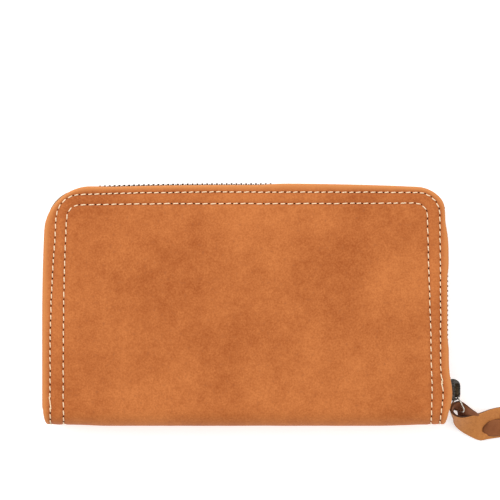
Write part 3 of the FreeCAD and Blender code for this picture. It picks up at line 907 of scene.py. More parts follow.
@dataclass(frozen=True)
class StitchRow:
    """One row of stitches, a closed loop over both covers and round the spine."""

    left: float  # how far out its sides are
    right: float
    inset: float  # how far in from the zipped edge it is
    corner: float
    pitch: float
    slant: float  # how far a stitch's ends lie off the row's line
    lean: Pair  # how far its left and right sides come in towards the zipped edge
    rise: Pair  # how much nearer the zipped edge its left and right ends are than its middle
    jitter: float = 0.22  # how far a hole strays
    lean_reach: Pair = (80.0, 95.0)  # how far along the left and right sides the lean goes
    rise_reach: float = 45.0  # how far along the sides the rise goes

    @property
    def middle(self) -> float:
        """Where the row's middle is, across."""
        return (self.right - self.left) / 2

    @property
    def half(self) -> float:
        """Half the distance between the row's two long sides."""
        return (self.right + self.left) / 2

    def distance(self, x: float, s: float, run: float) -> float:
        """How far a place on the leather's run is from the row.

        Args:
            x: place across.
            s: distance along the run.
            run: length of the run.

        Returns:
            The distance.
        """
        across, along = self._shift(x, s, run)
        x, s = x + across - self.middle, s + along - run / 2
        return abs(rounded_distance(x, s, self.half, run / 2 - self.inset, self.corner))

    def _shift(self, x: float, s: float, run: float) -> Pair:
        """How far the sewing strays from a true line at a place.

        Args:
            x: place across.
            s: distance along the run.
            run: length of the run.

        Returns:
            How far it strays across and along.
        """
        left, edge = x < 0, min(s, run - s)
        lean, rise = (pair[0 if left else 1] for pair in (self.lean, self.rise))
        across = lean * (1 - smooth(edge, 10, self.lean_reach[0 if left else 1])) * smooth(abs(x), 40, 85)
        along = rise * (abs(x) / 90) ** 2.4 * (1 - smooth(edge, 8, self.rise_reach))
        return (-across if left else across), (along if s < run / 2 else -along)

    def holes(self, run: float) -> list[Pair]:
        """Needle holes, one pitch apart, as places across and along the run.

        Args:
            run: length of the leather's run.

        Returns:
            The places, in order round the loop.
        """
        hx, hy, r = self.half, run / 2 - self.inset, self.corner
        lines = [2 * (hy - r), 2 * (hx - r)]
        arc = math.pi / 2 * r
        total = 2 * (lines[0] + lines[1]) + 4 * arc
        count = round(total / self.pitch)
        corners = [(hx - r, hy - r, 0), (r - hx, hy - r, 90), (r - hx, r - hy, 180), (hx - r, r - hy, 270)]
        points = []
        for i in range(count):
            d = total * (i + self.jitter * noise.noise(Vector((i * 0.83, hx, 0.4)))) / count % total
            quarter = 0
            while True:
                line = lines[quarter % 2]
                cx, cy, a = corners[quarter]
                way = math.radians(a)
                if d < line:
                    x = cx + r * math.cos(way) + (line - d) * math.sin(way)
                    y = cy + r * math.sin(way) - (line - d) * math.cos(way)
                    break
                d -= line
                if d < arc:
                    x, y = cx + r * math.cos(way + d / r), cy + r * math.sin(way + d / r)
                    break
                d -= arc
                quarter += 1
            reach = math.hypot(x, y)
            way_x, way_y = x / reach, y / reach
            x, y = x + self.middle, y + run / 2
            aside = self.jitter * noise.noise(Vector((i * 0.57, 7.7, hx)))
            across, along = self._shift(x, y, run)
            points.append((x - across + aside * way_x, y - along + aside * way_y))
        return points


@dataclass
class Covers:
    """The outer leather, one sheet round both covers and the spine, with its stitching and padding."""

    wallet: Wallet
    palette: Palette
    leather: float = 1.2
    edge: float = 2.4  # thickness of the rolled edge
    rows: tuple[StitchRow, ...] = (
        StitchRow(91.5, 91.3, 3.75, 10.0, pitch=3.3, slant=0.2, lean=(1.7, 0.0), rise=(0.2, 1.6)),
        StitchRow(85.3, 87.1, 9.1, 5.5, pitch=3.65, slant=0.16, lean=(0.5, 1.7), rise=(0.9, 2.0)),
    )
    thread_radius: float = 0.27
    stitch_gap: float = 0.17  # how far from each hole a stitch comes up, as a share of its length
    locked_gap: float = 0.16  # and a doubled one
    back_sink: float = 0.32  # how much deeper the thread lies on the back, which rests on the table
    hole_radius: float = 0.44
    crown: float = 0.75  # how far the padding lifts the front
    grooves: tuple[Pair, Pair] = ((0.34, 0.75), (0.42, 0.85))  # each row's groove: its depth and half width
    pad_room: float = 0.6  # how much narrower the felt is than the space for it, all round
    gape_width: float = 3.4  # how wide a strip of the edge stands back from the teeth
    square_x: float = 78.0  # where the sides' own outward direction begins
    locked: tuple[Pair, Pair] = ((-46.0, -40.0), (-43.0, -35.0))  # doubled stitches, left and right

    def relief(self, x: float, s: float, inset: float) -> float:
        """How far the outer face lies below its nominal height at a place.

        Args:
            x: place across.
            s: distance along the run.
            inset: distance in from the leather's edge.

        Returns:
            The depth.
        """
        run = self.wallet.run
        pairs = zip(self.rows, self.grooves)
        groove = sum(deep * hump(row.distance(x, s, run), 0, wide) for row, (deep, wide) in pairs)
        ripple = 0.1 * noise.noise(Vector((x / 17, s / 17, 3.1)))
        ripple += 0.05 * noise.noise(Vector((x / 6, s / 6, 8.2)))
        front = smooth(s, run / 2 - 12, run / 2 + 14)
        lift = self.crown * smooth(inset, 9.4, 30.0) + 0.14 * smooth(inset, 4.2, 6.4)
        return groove + front * (ripple * smooth(inset, 1.0, 6.0) - lift) + (1 - front) * 0.04

    def build_leather(self) -> Piece:
        """The leather itself, turned in along its three zipped sides and its ends.

        Returns:
            The piece.
        """
        wallet, run = self.wallet, self.wallet.run
        sheet = RoundedSheet(
            wallet.half_width, run / 2, wallet.corner_left, wallet.corner_right, columns=128, rows=150
        )
        roll = self.edge / 2
        # the outer face, closest together in the stitched grooves; the rolled edge; the turned-in hem
        face = (12.0, 10.8, 10.1, 9.6, 9.2, 8.8, 8.3, 7.6, 6.4, 5.4, 4.7, 4.25, 3.9, 3.6, 3.3, 2.9, 2.3, 1.7)
        turns = [math.radians(a) for a in range(0, 181, 20)]
        section = [(inset, 0.0) for inset in face]
        section += [(roll - roll * math.sin(a), roll - roll * math.cos(a)) for a in turns]
        section += [(2.4, self.edge), (6.0, self.edge), (10.6, self.edge), (10.9, self.edge - 0.15)]
        section += [(10.9, 2.0), (10.6, 1.82), (6.0, 1.82), (2.5, 1.8), (2.2, 1.6), (2.5, 1.3), (6.0, 1.22)]
        section += [(12.0, self.leather)]
        wear_and_sheen, groove_shade = [], []

        def put(x: float, y: float, depth: float, inset: float) -> Vector:
            """Places one point and marks its painted highlight with wear, and its painted shade along the
            stitch rows.

            Args:
                x: place across.
                y: place along, from the middle of the run.
                depth: how far below the outer face.
                inset: distance in from the leather's edge.

            Returns:
                The point.
            """
            s = y + run / 2
            spine = smooth(min(s, run - s), wallet.taper_start, run / 2)
            row_x = x * (1 - wallet.taper * spine / wallet.half_width)
            outside = depth < roll
            if outside and inset >= roll:
                depth += self.relief(row_x, s, inset) * smooth(inset, roll, roll + 0.9)
            nearest = min(row.distance(row_x, s, run) for row in self.rows)
            fold = smooth(min(s, run - s), wallet.flat - 1, wallet.flat + 6)
            # the rolled rim gets a painted highlight where it would catch the light; the fold gets a little
            # real wear
            rim_highlight = 0.85 * (1 - smooth(inset, 0.5, 2.6)) + 0.22 * (1 - smooth(inset, 2.0, 3.4))
            wear_and_sheen.append(min(1.0, rim_highlight + 0.12 * fold))
            # painted shade along the stitch rows, darkest on each row's line
            groove_shade.append(0.55 * hump(nearest, 0, 0.7) if outside and inset > 1.5 else 0.0)
            point = wallet.place(x, s, depth)
            if min(s, run - s) < wallet.flat:
                corner = wallet.half_height - wallet.corner_right
                level = wallet.fold(s, 0)[0]
                back = wallet.gape(x, level) * (1 - smooth(inset, 0, self.gape_width))
                out_x = math.copysign(max(abs(x) - self.square_x, 0.0), x)
                outward = Vector((out_x, max(level - corner, 0.0), 0.0))
                point -= outward.normalized() * back * smooth(outward.length, 2, 8)
            return point

        pile = sheet.shell(section, put)
        pile.marks = {"wear_and_sheen": wear_and_sheen, "groove_shade": groove_shade}
        piece = pile.piece("cover_leather", self.palette.leather, sharp=60)
        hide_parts("cover_leather_back", "cover_leather_front")
        wallet.bend(piece)
        return piece

    def _surface(self, x: float, s: float, lift: float) -> Vector:
        """A point above the outer face, as the thread lies on it.

        Args:
            x: place across.
            s: distance along the run.
            lift: how far above.

        Returns:
            The point.
        """
        run = self.wallet.run
        inset = -rounded_distance(x, s - run / 2, self.wallet.half_width, run / 2, self.wallet.corner_left)
        on_back = 1 - smooth(s, run / 2 - 20, run / 2)
        depth = self.relief(x, s, max(inset, 2.0)) + self.back_sink * on_back - lift
        return self.wallet.place(x, s, depth, taper=0.0, bulge=True)

    def _stitch(self, pile: MeshPile, ends: tuple[Pair, Pair], slant: float, sway: float, gap: float) -> None:
        """Adds one stitch, which rises out of one hole and goes down the next.

        Args:
            pile: the mesh that it joins.
            ends: its two holes, across and along the run.
            slant: how far its ends lie off the row's line.
            sway: how far its middle does.
            gap: how far from each hole it comes up, as a share of its length.
        """
        start, end = ends
        sx, ss = end[0] - start[0], end[1] - start[1]
        length = math.hypot(sx, ss)
        off_x, off_s = -ss / length, sx / length
        spine, radii = [], []
        half = ((gap, -0.3, 0.62), (gap + 0.07, 0.08, 0.9), (0.36, 0.24, 1.0))
        for share, lift, girth in half + tuple((1 - t, up, wide) for t, up, wide in reversed(half)):
            aside = slant * (2 * share - 1) + sway * math.sin(math.pi * share)
            x = start[0] + sx * share + off_x * aside
            s = start[1] + ss * share + off_s * aside
            spine.append(self._surface(x, s, lift))
            radii.append(self.thread_radius * girth)
        up = self._surface(*start, 1.0) - self._surface(*start, 0.0)
        pile.tube(spine, radii, 8, up)

    def build_stitching(self) -> list[Piece]:
        """The cream thread of both rows, the needle holes, and the doubled stitches that lock it.

        Returns:
            The pieces.
        """
        thread, holes = MeshPile(), MeshPile()
        run = self.wallet.run
        for number, row in enumerate(self.rows):
            places = row.holes(run)
            for i, start in enumerate(places):
                end = places[(i + 1) % len(places)]
                sway = 0.1 * noise.noise(Vector((i * 0.71, number * 5.3, 1.7)))
                self._stitch(thread, (start, end), row.slant, sway, self.stitch_gap)
                self._hole(holes, start)
                low, high = self.locked[1 if start[0] > 0 else 0]
                level = self.wallet.fold(start[1], 0)[0]
                at_side = number == 0 and abs(start[0]) > self.wallet.half_width - 8
                if at_side and start[1] > run / 2 and low < level < high:
                    half = ((end[0] - start[0]) / 2, (end[1] - start[1]) / 2)
                    again = tuple((p[0] + half[0], p[1] + half[1]) for p in (start, end))
                    self._stitch(thread, again, row.slant, 0.26 * (-1) ** i, self.locked_gap)
        pieces = [thread.piece("cover_stitches", self.palette.thread)]
        pieces.append(holes.piece("needle_holes", self.palette.hole))
        for piece in pieces:
            self.wallet.bend(piece)
        return pieces

    def _hole(self, pile: MeshPile, at: Pair) -> None:
        """Adds one needle hole, a dark dimple that sits just proud of the groove.

        Args:
            pile: the mesh that it joins.
            at: its place, across and along the run.
        """
        centre, top = self._surface(*at, 0.0), self._surface(*at, 1.0)
        up = (top - centre).normalized()
        left, right = (self._surface(at[0] + step, at[1], 0.0) for step in (-0.5, 0.5))
        across = (right - left).normalized()
        ahead = up.cross(across).normalized()
        sides = 10
        points = [centre + up * 0.1]
        for radius, lift in ((0.55, 0.09), (1.0, 0.02), (0.8, -0.25)):
            for k in range(sides):
                a = 2 * math.pi * k / sides
                spoke = across * math.cos(a) + ahead * math.sin(a)
                points.append(centre + up * lift + spoke * radius * self.hole_radius)
        points.append(centre - up * 0.35)
        faces = [(0, 1 + k, 1 + (k + 1) % sides) for k in range(sides)]
        for ring in range(2):
            for k in range(sides):
                a, b = 1 + ring * sides + k, 1 + ring * sides + (k + 1) % sides
                faces.append((a, a + sides, b + sides, b))
        last = 1 + 3 * sides
        faces += [(last, last - sides + (k + 1) % sides, last - sides + k) for k in range(sides)]
        pile.add(points, faces)

    def build_padding(self) -> list[Piece]:
        """The felt pads and boards inside the covers, sealed in between leather and lining.

        Returns:
            The pad pieces.
        """
        pads = []
        for side in Side:
            low, high = box_mm(f"cover_pad_{side.value}")
            middle = (low + high) / 2
            half = (high - low) / 2 - Vector((self.pad_room, self.pad_room, 0.0))
            sheet = RoundedSheet(half.x, half.y, 7.0, 7.0, columns=40, rows=26, arc=4)

            def put(x: float, y: float, depth: float, inset: float) -> Triple:
                """Places one point of the pad."""
                return (middle.x + x, middle.y + y, middle.z + depth)

            upper = [(4.0, 0.42), (1.4, 0.38), (0.5, 0.25)]
            section = upper + [(0.1, 0.0)] + [(inset, -depth) for inset, depth in reversed(upper)]
            pad = sheet.shell(section, put).piece(f"felt_pad_{side.value}", self.palette.felt)
            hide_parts(f"cover_pad_{side.value}")
            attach(pad, side.body)
            pads.append(pad)
            dress(f"cover_board_{side.value}", self.palette.board)
        return pads

    def build_lining(self) -> Piece:
        """The twill lining, one sheet over both covers and the spine.

        Returns:
            The piece.
        """
        wallet, run = self.wallet, self.wallet.run
        inset = 2.5
        halves = (wallet.half_width - inset, run / 2 - inset)
        corners = (wallet.corner_left - inset, wallet.corner_right - inset)
        sheet = RoundedSheet(*halves, *corners, columns=64, rows=110)
        section = [(6.0, 2.95), (1.5, 2.95), (0.3, 2.97), (0.0, 3.1), (0.3, 3.23), (1.5, 3.25), (6.0, 3.25)]
        pile = sheet.shell(
            section, lambda x, y, depth, inset: wallet.place(x, y + run / 2, depth, bulge=False)
        )
        piece = pile.piece("cover_lining", self.palette.lining)
        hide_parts("cover_lining_back", "cover_lining_front")
        wallet.bend(piece)
        return piece


def dress(node: str, material: Material, bevel: float = 0.0) -> Piece:
    """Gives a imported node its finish, and softens its edges.

    Args:
        node: the node's name.
        material: its finish.
        bevel: how far its edges are rounded, in millimetres.

    Returns:
        The node's object.
    """
    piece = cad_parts[node]
    piece.data.materials.clear()
    piece.data.materials.append(material)
    if bevel:
        weld = piece.modifiers.new("weld", "WELD")
        weld.merge_threshold = 0.005 * MM
        rounding = piece.modifiers.new("rounding", "BEVEL")
        rounding.width = bevel * MM
        rounding.segments = 3
        rounding.limit_method = "ANGLE"
        rounding.angle_limit = math.radians(28)
        rounding.harden_normals = True
    return piece


@dataclass
class MainZip:
    """Tapes and teeth round the three open sides, with the stops at their ends."""

    wallet: Wallet
    palette: Palette
    tape_low: float = -50.0
    pitch: float = 2.3
    chain_inset: float = 0.85
    proud: float = 0.3  # how far the front row stands out where the covers gape
    chain_low: float = -41.0
    leg_steps: int = 44
    arc_steps: int = 14
    top_steps: int = 84

    def path(self, inset: float, low: float) -> list[Pair]:
        """The U-shaped line along the zip, from the right leg's foot to the left's.

        Args:
            inset: how far in from the covers' outline it runs.
            low: where its two legs end.

        Returns:
            Its points.
        """
        w = self.wallet
        points = []
        x, y = w.half_width - inset, w.half_height - inset
        foot = w.half_height - w.corner_right
        points += [(x, low + (foot - low) * i / self.leg_steps) for i in range(self.leg_steps)]
        right = (w.half_width - w.corner_right, w.corner_right, 0)
        left = (w.corner_left - w.half_width, w.corner_left, 90)
        for centre_x, radius, first in (right, left):
            centre_y = w.half_height - radius
            if first:
                start = points[-1][0]
                shares = (i / self.top_steps for i in range(1, self.top_steps))
                points += [(start + (centre_x - start) * share, y) for share in shares]
            for i in range(self.arc_steps + 1):
                a = math.radians(first + 90 * i / self.arc_steps)
                bend = radius - inset
                points.append((centre_x + bend * math.cos(a), centre_y + bend * math.sin(a)))
        start = points[-1][1]
        shares = (i / self.leg_steps for i in range(1, self.leg_steps + 1))
        points += [(-x, start + (low - start) * share) for share in shares]
        return [w.settle(px, py, taper=0.5) for px, py in points]

    def build_tape(self, side: Side) -> Piece:
        """One woven tape, sewn under the hem and standing up to its row of teeth.

        Args:
            side: the cover that it belongs to.

        Returns:
            The piece.
        """
        section = [
            (9.8, 2.45), (2.3, 2.45), (1.5, 2.8), (1.0, 3.8), (0.7, 5.5), (0.55, 7.5), (0.6, 11.0),
            (0.7, 11.2), (1.0, 11.2), (1.1, 11.0), (1.05, 7.5), (1.2, 5.6), (1.5, 4.2), (2.0, 3.3),
            (2.6, 2.9), (9.8, 2.9),
        ]
        pile, points, faces = MeshPile(), [], []
        count = len(section)
        lines = [self.path(u, self.tape_low) for u, _ in section]
        for i in range(len(lines[0])):
            for (_, z), line in zip(section, lines):
                points.append((*line[i], z if side is Side.BACK else self.wallet.thickness - z))
        for i in range(len(lines[0]) - 1):
            for k in range(count):
                a, b = i * count + k, i * count + (k + 1) % count
                faces.append((a, b, b + count, a + count))
        faces += [tuple(range(count)), tuple(range(len(points) - count, len(points)))]
        pile.add(points, faces)
        piece = pile.piece(f"zip_tape_cloth_{side.value}", self.palette.tape, sharp=50)
        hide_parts(f"zip_tape_{side.value}")
        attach(piece, side.body)
        return piece

    def _tooth(self) -> tuple[list[Vector], list[Face]]:
        """One bevelled tooth, whose head meets the other row in the middle of the chain.

        Returns:
            Its points and its faces.
        """
        half, low, head = 1.2, -3.0, 0.62
        outline = [
            (half, low + 0.5), (half, -0.5), (half - 0.18, 0.1), (half - 0.5, head), (0.5 - half, head),
            (0.18 - half, 0.1), (-half, -0.5), (-half, low + 0.5), (0.35 - half, low), (-0.32, low),
            (-0.32, -1.3), (0.32, -1.3), (0.32, low), (half - 0.35, low),
        ]
        work = bmesh.new()
        front = [work.verts.new((x, -0.475, z)) for x, z in outline]
        face = work.faces.new(front)
        raised = bmesh.ops.extrude_face_region(work, geom=[face])
        moved = [v for v in raised["geom"] if isinstance(v, bmesh.types.BMVert)]
        bmesh.ops.translate(work, vec=(0, 0.95, 0), verts=moved)
        bmesh.ops.bevel(
            work, geom=work.edges[:], offset=0.11, segments=2, profile=0.5, affect="EDGES", clamp_overlap=True
        )
        bmesh.ops.recalc_face_normals(work, faces=work.faces)
        work.verts.index_update()
        points = [v.co.copy() for v in work.verts]
        faces = [tuple(v.index for v in f.verts) for f in work.faces]
        work.free()
        return points, faces

    def build_teeth(self, side: Side) -> Piece:
        """One row of metal teeth, clamped over its tape's edge.

        Args:
            side: the cover that it belongs to.

        Returns:
            The piece.
        """
        shape, faces = self._tooth()
        line = self.path(self.chain_inset, self.chain_low)
        travelled = [0.0]
        for a, b in zip(line, line[1:]):
            travelled.append(travelled[-1] + math.dist(a, b))
        pile = MeshPile()
        distance = 0.5 if side is Side.BACK else 0.5 + self.pitch / 2
        flip = 1 if side is Side.BACK else -1
        index = 0
        while distance < travelled[-1]:
            while travelled[index + 1] < distance:
                index += 1
            a, b = Vector(line[index]), Vector(line[index + 1])
            at = a.lerp(b, (distance - travelled[index]) / (travelled[index + 1] - travelled[index]))
            way = (b - a).normalized()
            shown = self.wallet.gape(at.x, at.y) > 0
            out = self.proud if side is Side.FRONT and shown else 0.0
            points = [
                (
                    at.x + way.y * (p.x + out) + way.x * p.y,
                    at.y - way.x * (p.x + out) + way.y * p.y,
                    self.wallet.thickness / 2 + flip * p.z,
                )
                for p in shape
            ]
            pile.add(points, faces)
            distance += self.pitch
        piece = pile.piece(f"zip_tooth_row_{side.value}", self.palette.teeth)
        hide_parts(f"zip_teeth_{side.value}")
        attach(piece, side.body)
        return piece

    def build(self) -> None:
        """Both tapes and both rows of teeth, and the finish of the stops."""
        for side in Side:
            self.build_tape(side)
            self.build_teeth(side)
            dress(f"zip_stops_{side.value}", self.palette.teeth, 0.15)


@dataclass
class Puller:
    """The slider, the wire triangle in its crown, and the leather strap looped through itself.

    The strap is one strip: a near half with a slit, a loose loop round the triangle's base, and a far
    half that narrows, comes up through the slit and lies on top as the tail. Each station gives the
    strip's upper and lower edge.
    """

    palette: Palette
    thickness: float = 1.35
    near: tuple[tuple[Triple, Triple], ...] = (
        ((147.5, -46.6, 0.8), (146.0, -58.0, 0.8)),
        ((138.0, -47.4, 0.8), (138.0, -60.4, 0.8)),
        ((128.5, -48.4, 1.0), (129.0, -62.6, 0.9)),
        ((121.2, -49.3, 1.9), (121.4, -63.8, 1.2)),
        ((116.4, -50.3, 3.0), (115.8, -64.6, 1.6)),
        ((111.5, -51.9, 4.9), (111.6, -65.2, 1.6)),
        ((106.5, -52.9, 8.4), (107.1, -63.2, 1.9)),
        ((103.0, -53.3, 11.6), (102.6, -60.4, 3.2)),
        ((100.2, -52.8, 13.5), (99.9, -57.6, 4.4)),
        ((98.2, -51.6, 14.7), (99.1, -54.4, 6.2)),
        ((96.9, -49.5, 15.0), (98.1, -51.6, 8.4)),
        ((98.2, -47.2, 13.8), (98.7, -49.2, 9.2)),
    )
    far: tuple[tuple[Triple, Triple], ...] = (
        ((101.4, -46.1, 12.0), (100.8, -51.2, 6.4)),
        ((105.2, -48.4, 12.9), (102.5, -57.0, 3.0)),
        ((109.6, -51.4, 7.2), (107.6, -60.2, 1.0)),
        ((113.6, -54.2, 2.0), (112.4, -62.4, 0.75)),
        ((118.0, -55.2, 2.0), (117.2, -63.2, 2.4)),
        ((122.4, -55.0, 2.4), (122.0, -62.8, 3.4)),
        ((130.0, -54.2, 2.6), (130.0, -61.8, 2.6)),
        ((142.0, -52.6, 2.4), (142.0, -60.0, 2.4)),
        ((152.0, -51.6, 2.2), (151.6, -57.8, 2.2)),
        ((155.4, -52.8, 2.2), (155.2, -55.6, 2.2)),
    )
    steps: int = 7
    slit_start: float = 112.6
    slit_end: float = 133.0
    slit_half: float = 3.3
    slit_share: float = 0.62  # where the slit is, from the upper edge
    slit_lip: float = 0.012  # half its width where it is shut, as a share
    slit_bow: float = 2.4  # how quickly it opens from its start

    def _stations(self) -> list[tuple[Vector, Vector]]:
        """Divides the strip evenly, on a smooth line through the given stations.

        Returns:
            The upper and the lower edge at each station.
        """
        given = [(Vector(a), Vector(b)) for a, b in self.near + self.far]
        out = []
        for i in range(len(given) - 1):
            four = [given[max(i - 1, 0)], given[i], given[i + 1], given[min(i + 2, len(given) - 1)]]
            for k in range(self.steps):
                t = k / self.steps
                pair = []
                for edge in (0, 1):
                    p0, p1, p2, p3 = (p[edge] for p in four)
                    square = 2 * p0 - 5 * p1 + 4 * p2 - p3
                    cube = 3 * p1 - p0 - 3 * p2 + p3
                    pair.append(0.5 * (2 * p1 + (p2 - p0) * t + square * t**2 + cube * t**3))
                out.append((pair[0], pair[1]))
        out.append(given[-1])
        return out

    def build_strap(self) -> Piece:
        """The strap, with its grain outside, its flesh side inside and its slit.

        Returns:
            The piece.
        """
        stations = self._stations()
        turning = len(self.near) * self.steps - self.steps // 2
        outer = [0.0, 0.012, 0.04, 0.1, 0.2, 0.3, 0.42, 0.52]
        lips = [self.slit_share - self.slit_lip, self.slit_share + self.slit_lip]
        shares = outer + lips + [0.66, 0.74, 0.83, 0.91, 0.96, 0.988, 1.0]
        gap = len(outer)  # the slit opens between this line and the next
        last = len(shares) - 1
        middle, open_rows = [], set()
        for i, (upper, lower) in enumerate(stations):
            row = []
            width = (upper - lower).length
            x = (upper.x + lower.x) / 2
            part = 0.0
            if i < turning and self.slit_start < x < self.slit_end:
                open_rows.add(i)
                along = (x - self.slit_start) / (self.slit_end - self.slit_start)
                opened = self.slit_half * min(1.0, self.slit_bow * math.sqrt(along))
                part = opened * math.sqrt(max(0.0, 1 - along**2)) / width
            for j, share in enumerate(shares):
                if part and j <= gap:
                    share = share * (self.slit_share - part) / shares[gap]
                elif part:
                    share = 1 - (1 - share) * (1 - self.slit_share - part) / (1 - shares[gap + 1])
                row.append(upper.lerp(lower, share))
            middle.append(row)
        normals = self._normals(middle)
        pile, points = MeshPile(), []
        for face in (1, -1):
            for i, row in enumerate(middle):
                for j, p in enumerate(row):
                    rim = min(j, last - j)
                    if i in open_rows:
                        rim = min(rim, abs(j - gap) if j <= gap else abs(j - gap - 1))
                    end = min(i, len(middle) - 1 - i)
                    share = (0.35, 0.75, 0.95, 1.0)[min(rim, 3)] * (0.4, 1.0)[min(end, 1)]
                    points.append(p + normals[i][j] * (face * self.thickness / 2 * share))
        size = len(middle) * (last + 1)
        faces, finish = [], []

        def solid(i: int, j: int) -> bool:
            """Whether the strip has leather in a cell.

            Args:
                i: the cell's row, along the strip.
                j: its column, across the strip.

            Returns:
                True where there is leather.
            """
            inside = 0 <= i < len(middle) - 1 and 0 <= j < last
            return inside and not (j == gap and i in open_rows and i + 1 in open_rows)

        for i in range(len(middle) - 1):
            for j in range(last):
                if not solid(i, j):
                    continue
                a, b = i * (last + 1) + j, (i + 1) * (last + 1) + j
                faces += [(a, a + 1, b + 1, b), (size + a, size + b, size + b + 1, size + a + 1)]
                # the outermost column on each face takes the dark brown edge finish
                rim = 2 if j == 0 or j == last - 1 else 0
                finish += [rim, rim or 1]
                ends = ((i - 1, j, a, a + 1), (i + 1, j, b + 1, b))
                sides = ((i, j - 1, b, a), (i, j + 1, a + 1, b + 1))
                for ni, nj, p, q in ends + sides:
                    if not solid(ni, nj):
                        faces.append((p, size + p, size + q, q))
                        finish.append(2)
        pile.add(points, faces)
        # the points nearest the strap's two edges get a painted highlight
        pile.marks = {
            "wear_and_sheen": [0.9 if min(k % (last + 1), last - k % (last + 1)) < 2 else 0.0 for k in range(2 * size)],
            "groove_shade": [0.0] * (2 * size),
        }
        piece = pile.piece("leather_pull_strap", self.palette.strap, sharp=80)
        piece.data.materials.append(self.palette.flesh)
        piece.data.materials.append(self.palette.dark_edge)
        for polygon, kind in zip(piece.data.polygons, finish):
            polygon.material_index = kind
        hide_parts("pull_strap")
        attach(piece, "pull_strap")
        return piece

    @staticmethod
    def _normals(grid: list[list[Vector]]) -> list[list[Vector]]:
        """Finds which way the strip's grain side faces.

        Args:
            grid: the strip's points, station by station.

        Returns:
            A unit normal for each point.
        """
        normals = []
        for i, row in enumerate(grid):
            line = []
            for j in range(len(row)):
                ahead = grid[min(i + 1, len(grid) - 1)][j] - grid[max(i - 1, 0)][j]
                across = row[0] - row[-1]
                line.append(across.cross(ahead).normalized())
            normals.append(line)
        return normals

    def build_lock(self) -> Piece:
        """The flat lock spring inside the slider's crown, above the wire.

        Returns:
            The piece.
        """
        low, high = box_mm("zip_slider")
        middle = (low.z + high.z) / 2
        x0, x1 = high.x - 2.75, high.x - 0.6
        y0, y1 = low.y + 2.85, high.y - 2.7
        pile = MeshPile()
        tongue = [(x0, y0 + 0.5), (x0 + 0.5, y0), (x1, y0), (x1, y1), (x0, y1)]
        pile.prism(tongue, middle - 0.3, middle + 0.12, 0.1)
        foot, upright = (-1.1, 1.0, 2.2, 1.5), (0.6, 1.2, 2.0, 0.2)
        for start, end, deep, shallow in (foot, upright):
            block = [(x0, y0 + start), (x1, y0 + start), (x1, y0 + end), (x0, y0 + end)]
            pile.prism(block, middle - deep, middle - shallow, 0.1)
        piece = pile.piece("slider_lock_spring", self.palette.teeth)
        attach(piece, "zip_slider")
        return piece

    def build(self) -> None:
        """The strap, the lock spring, and the finish of the slider and the wire."""
        self.build_strap()
        self.build_lock()
        dress("zip_slider", self.palette.gunmetal, 0.28)
        ring = dress("pull_ring", self.palette.wire)
        ring.data.shade_smooth()


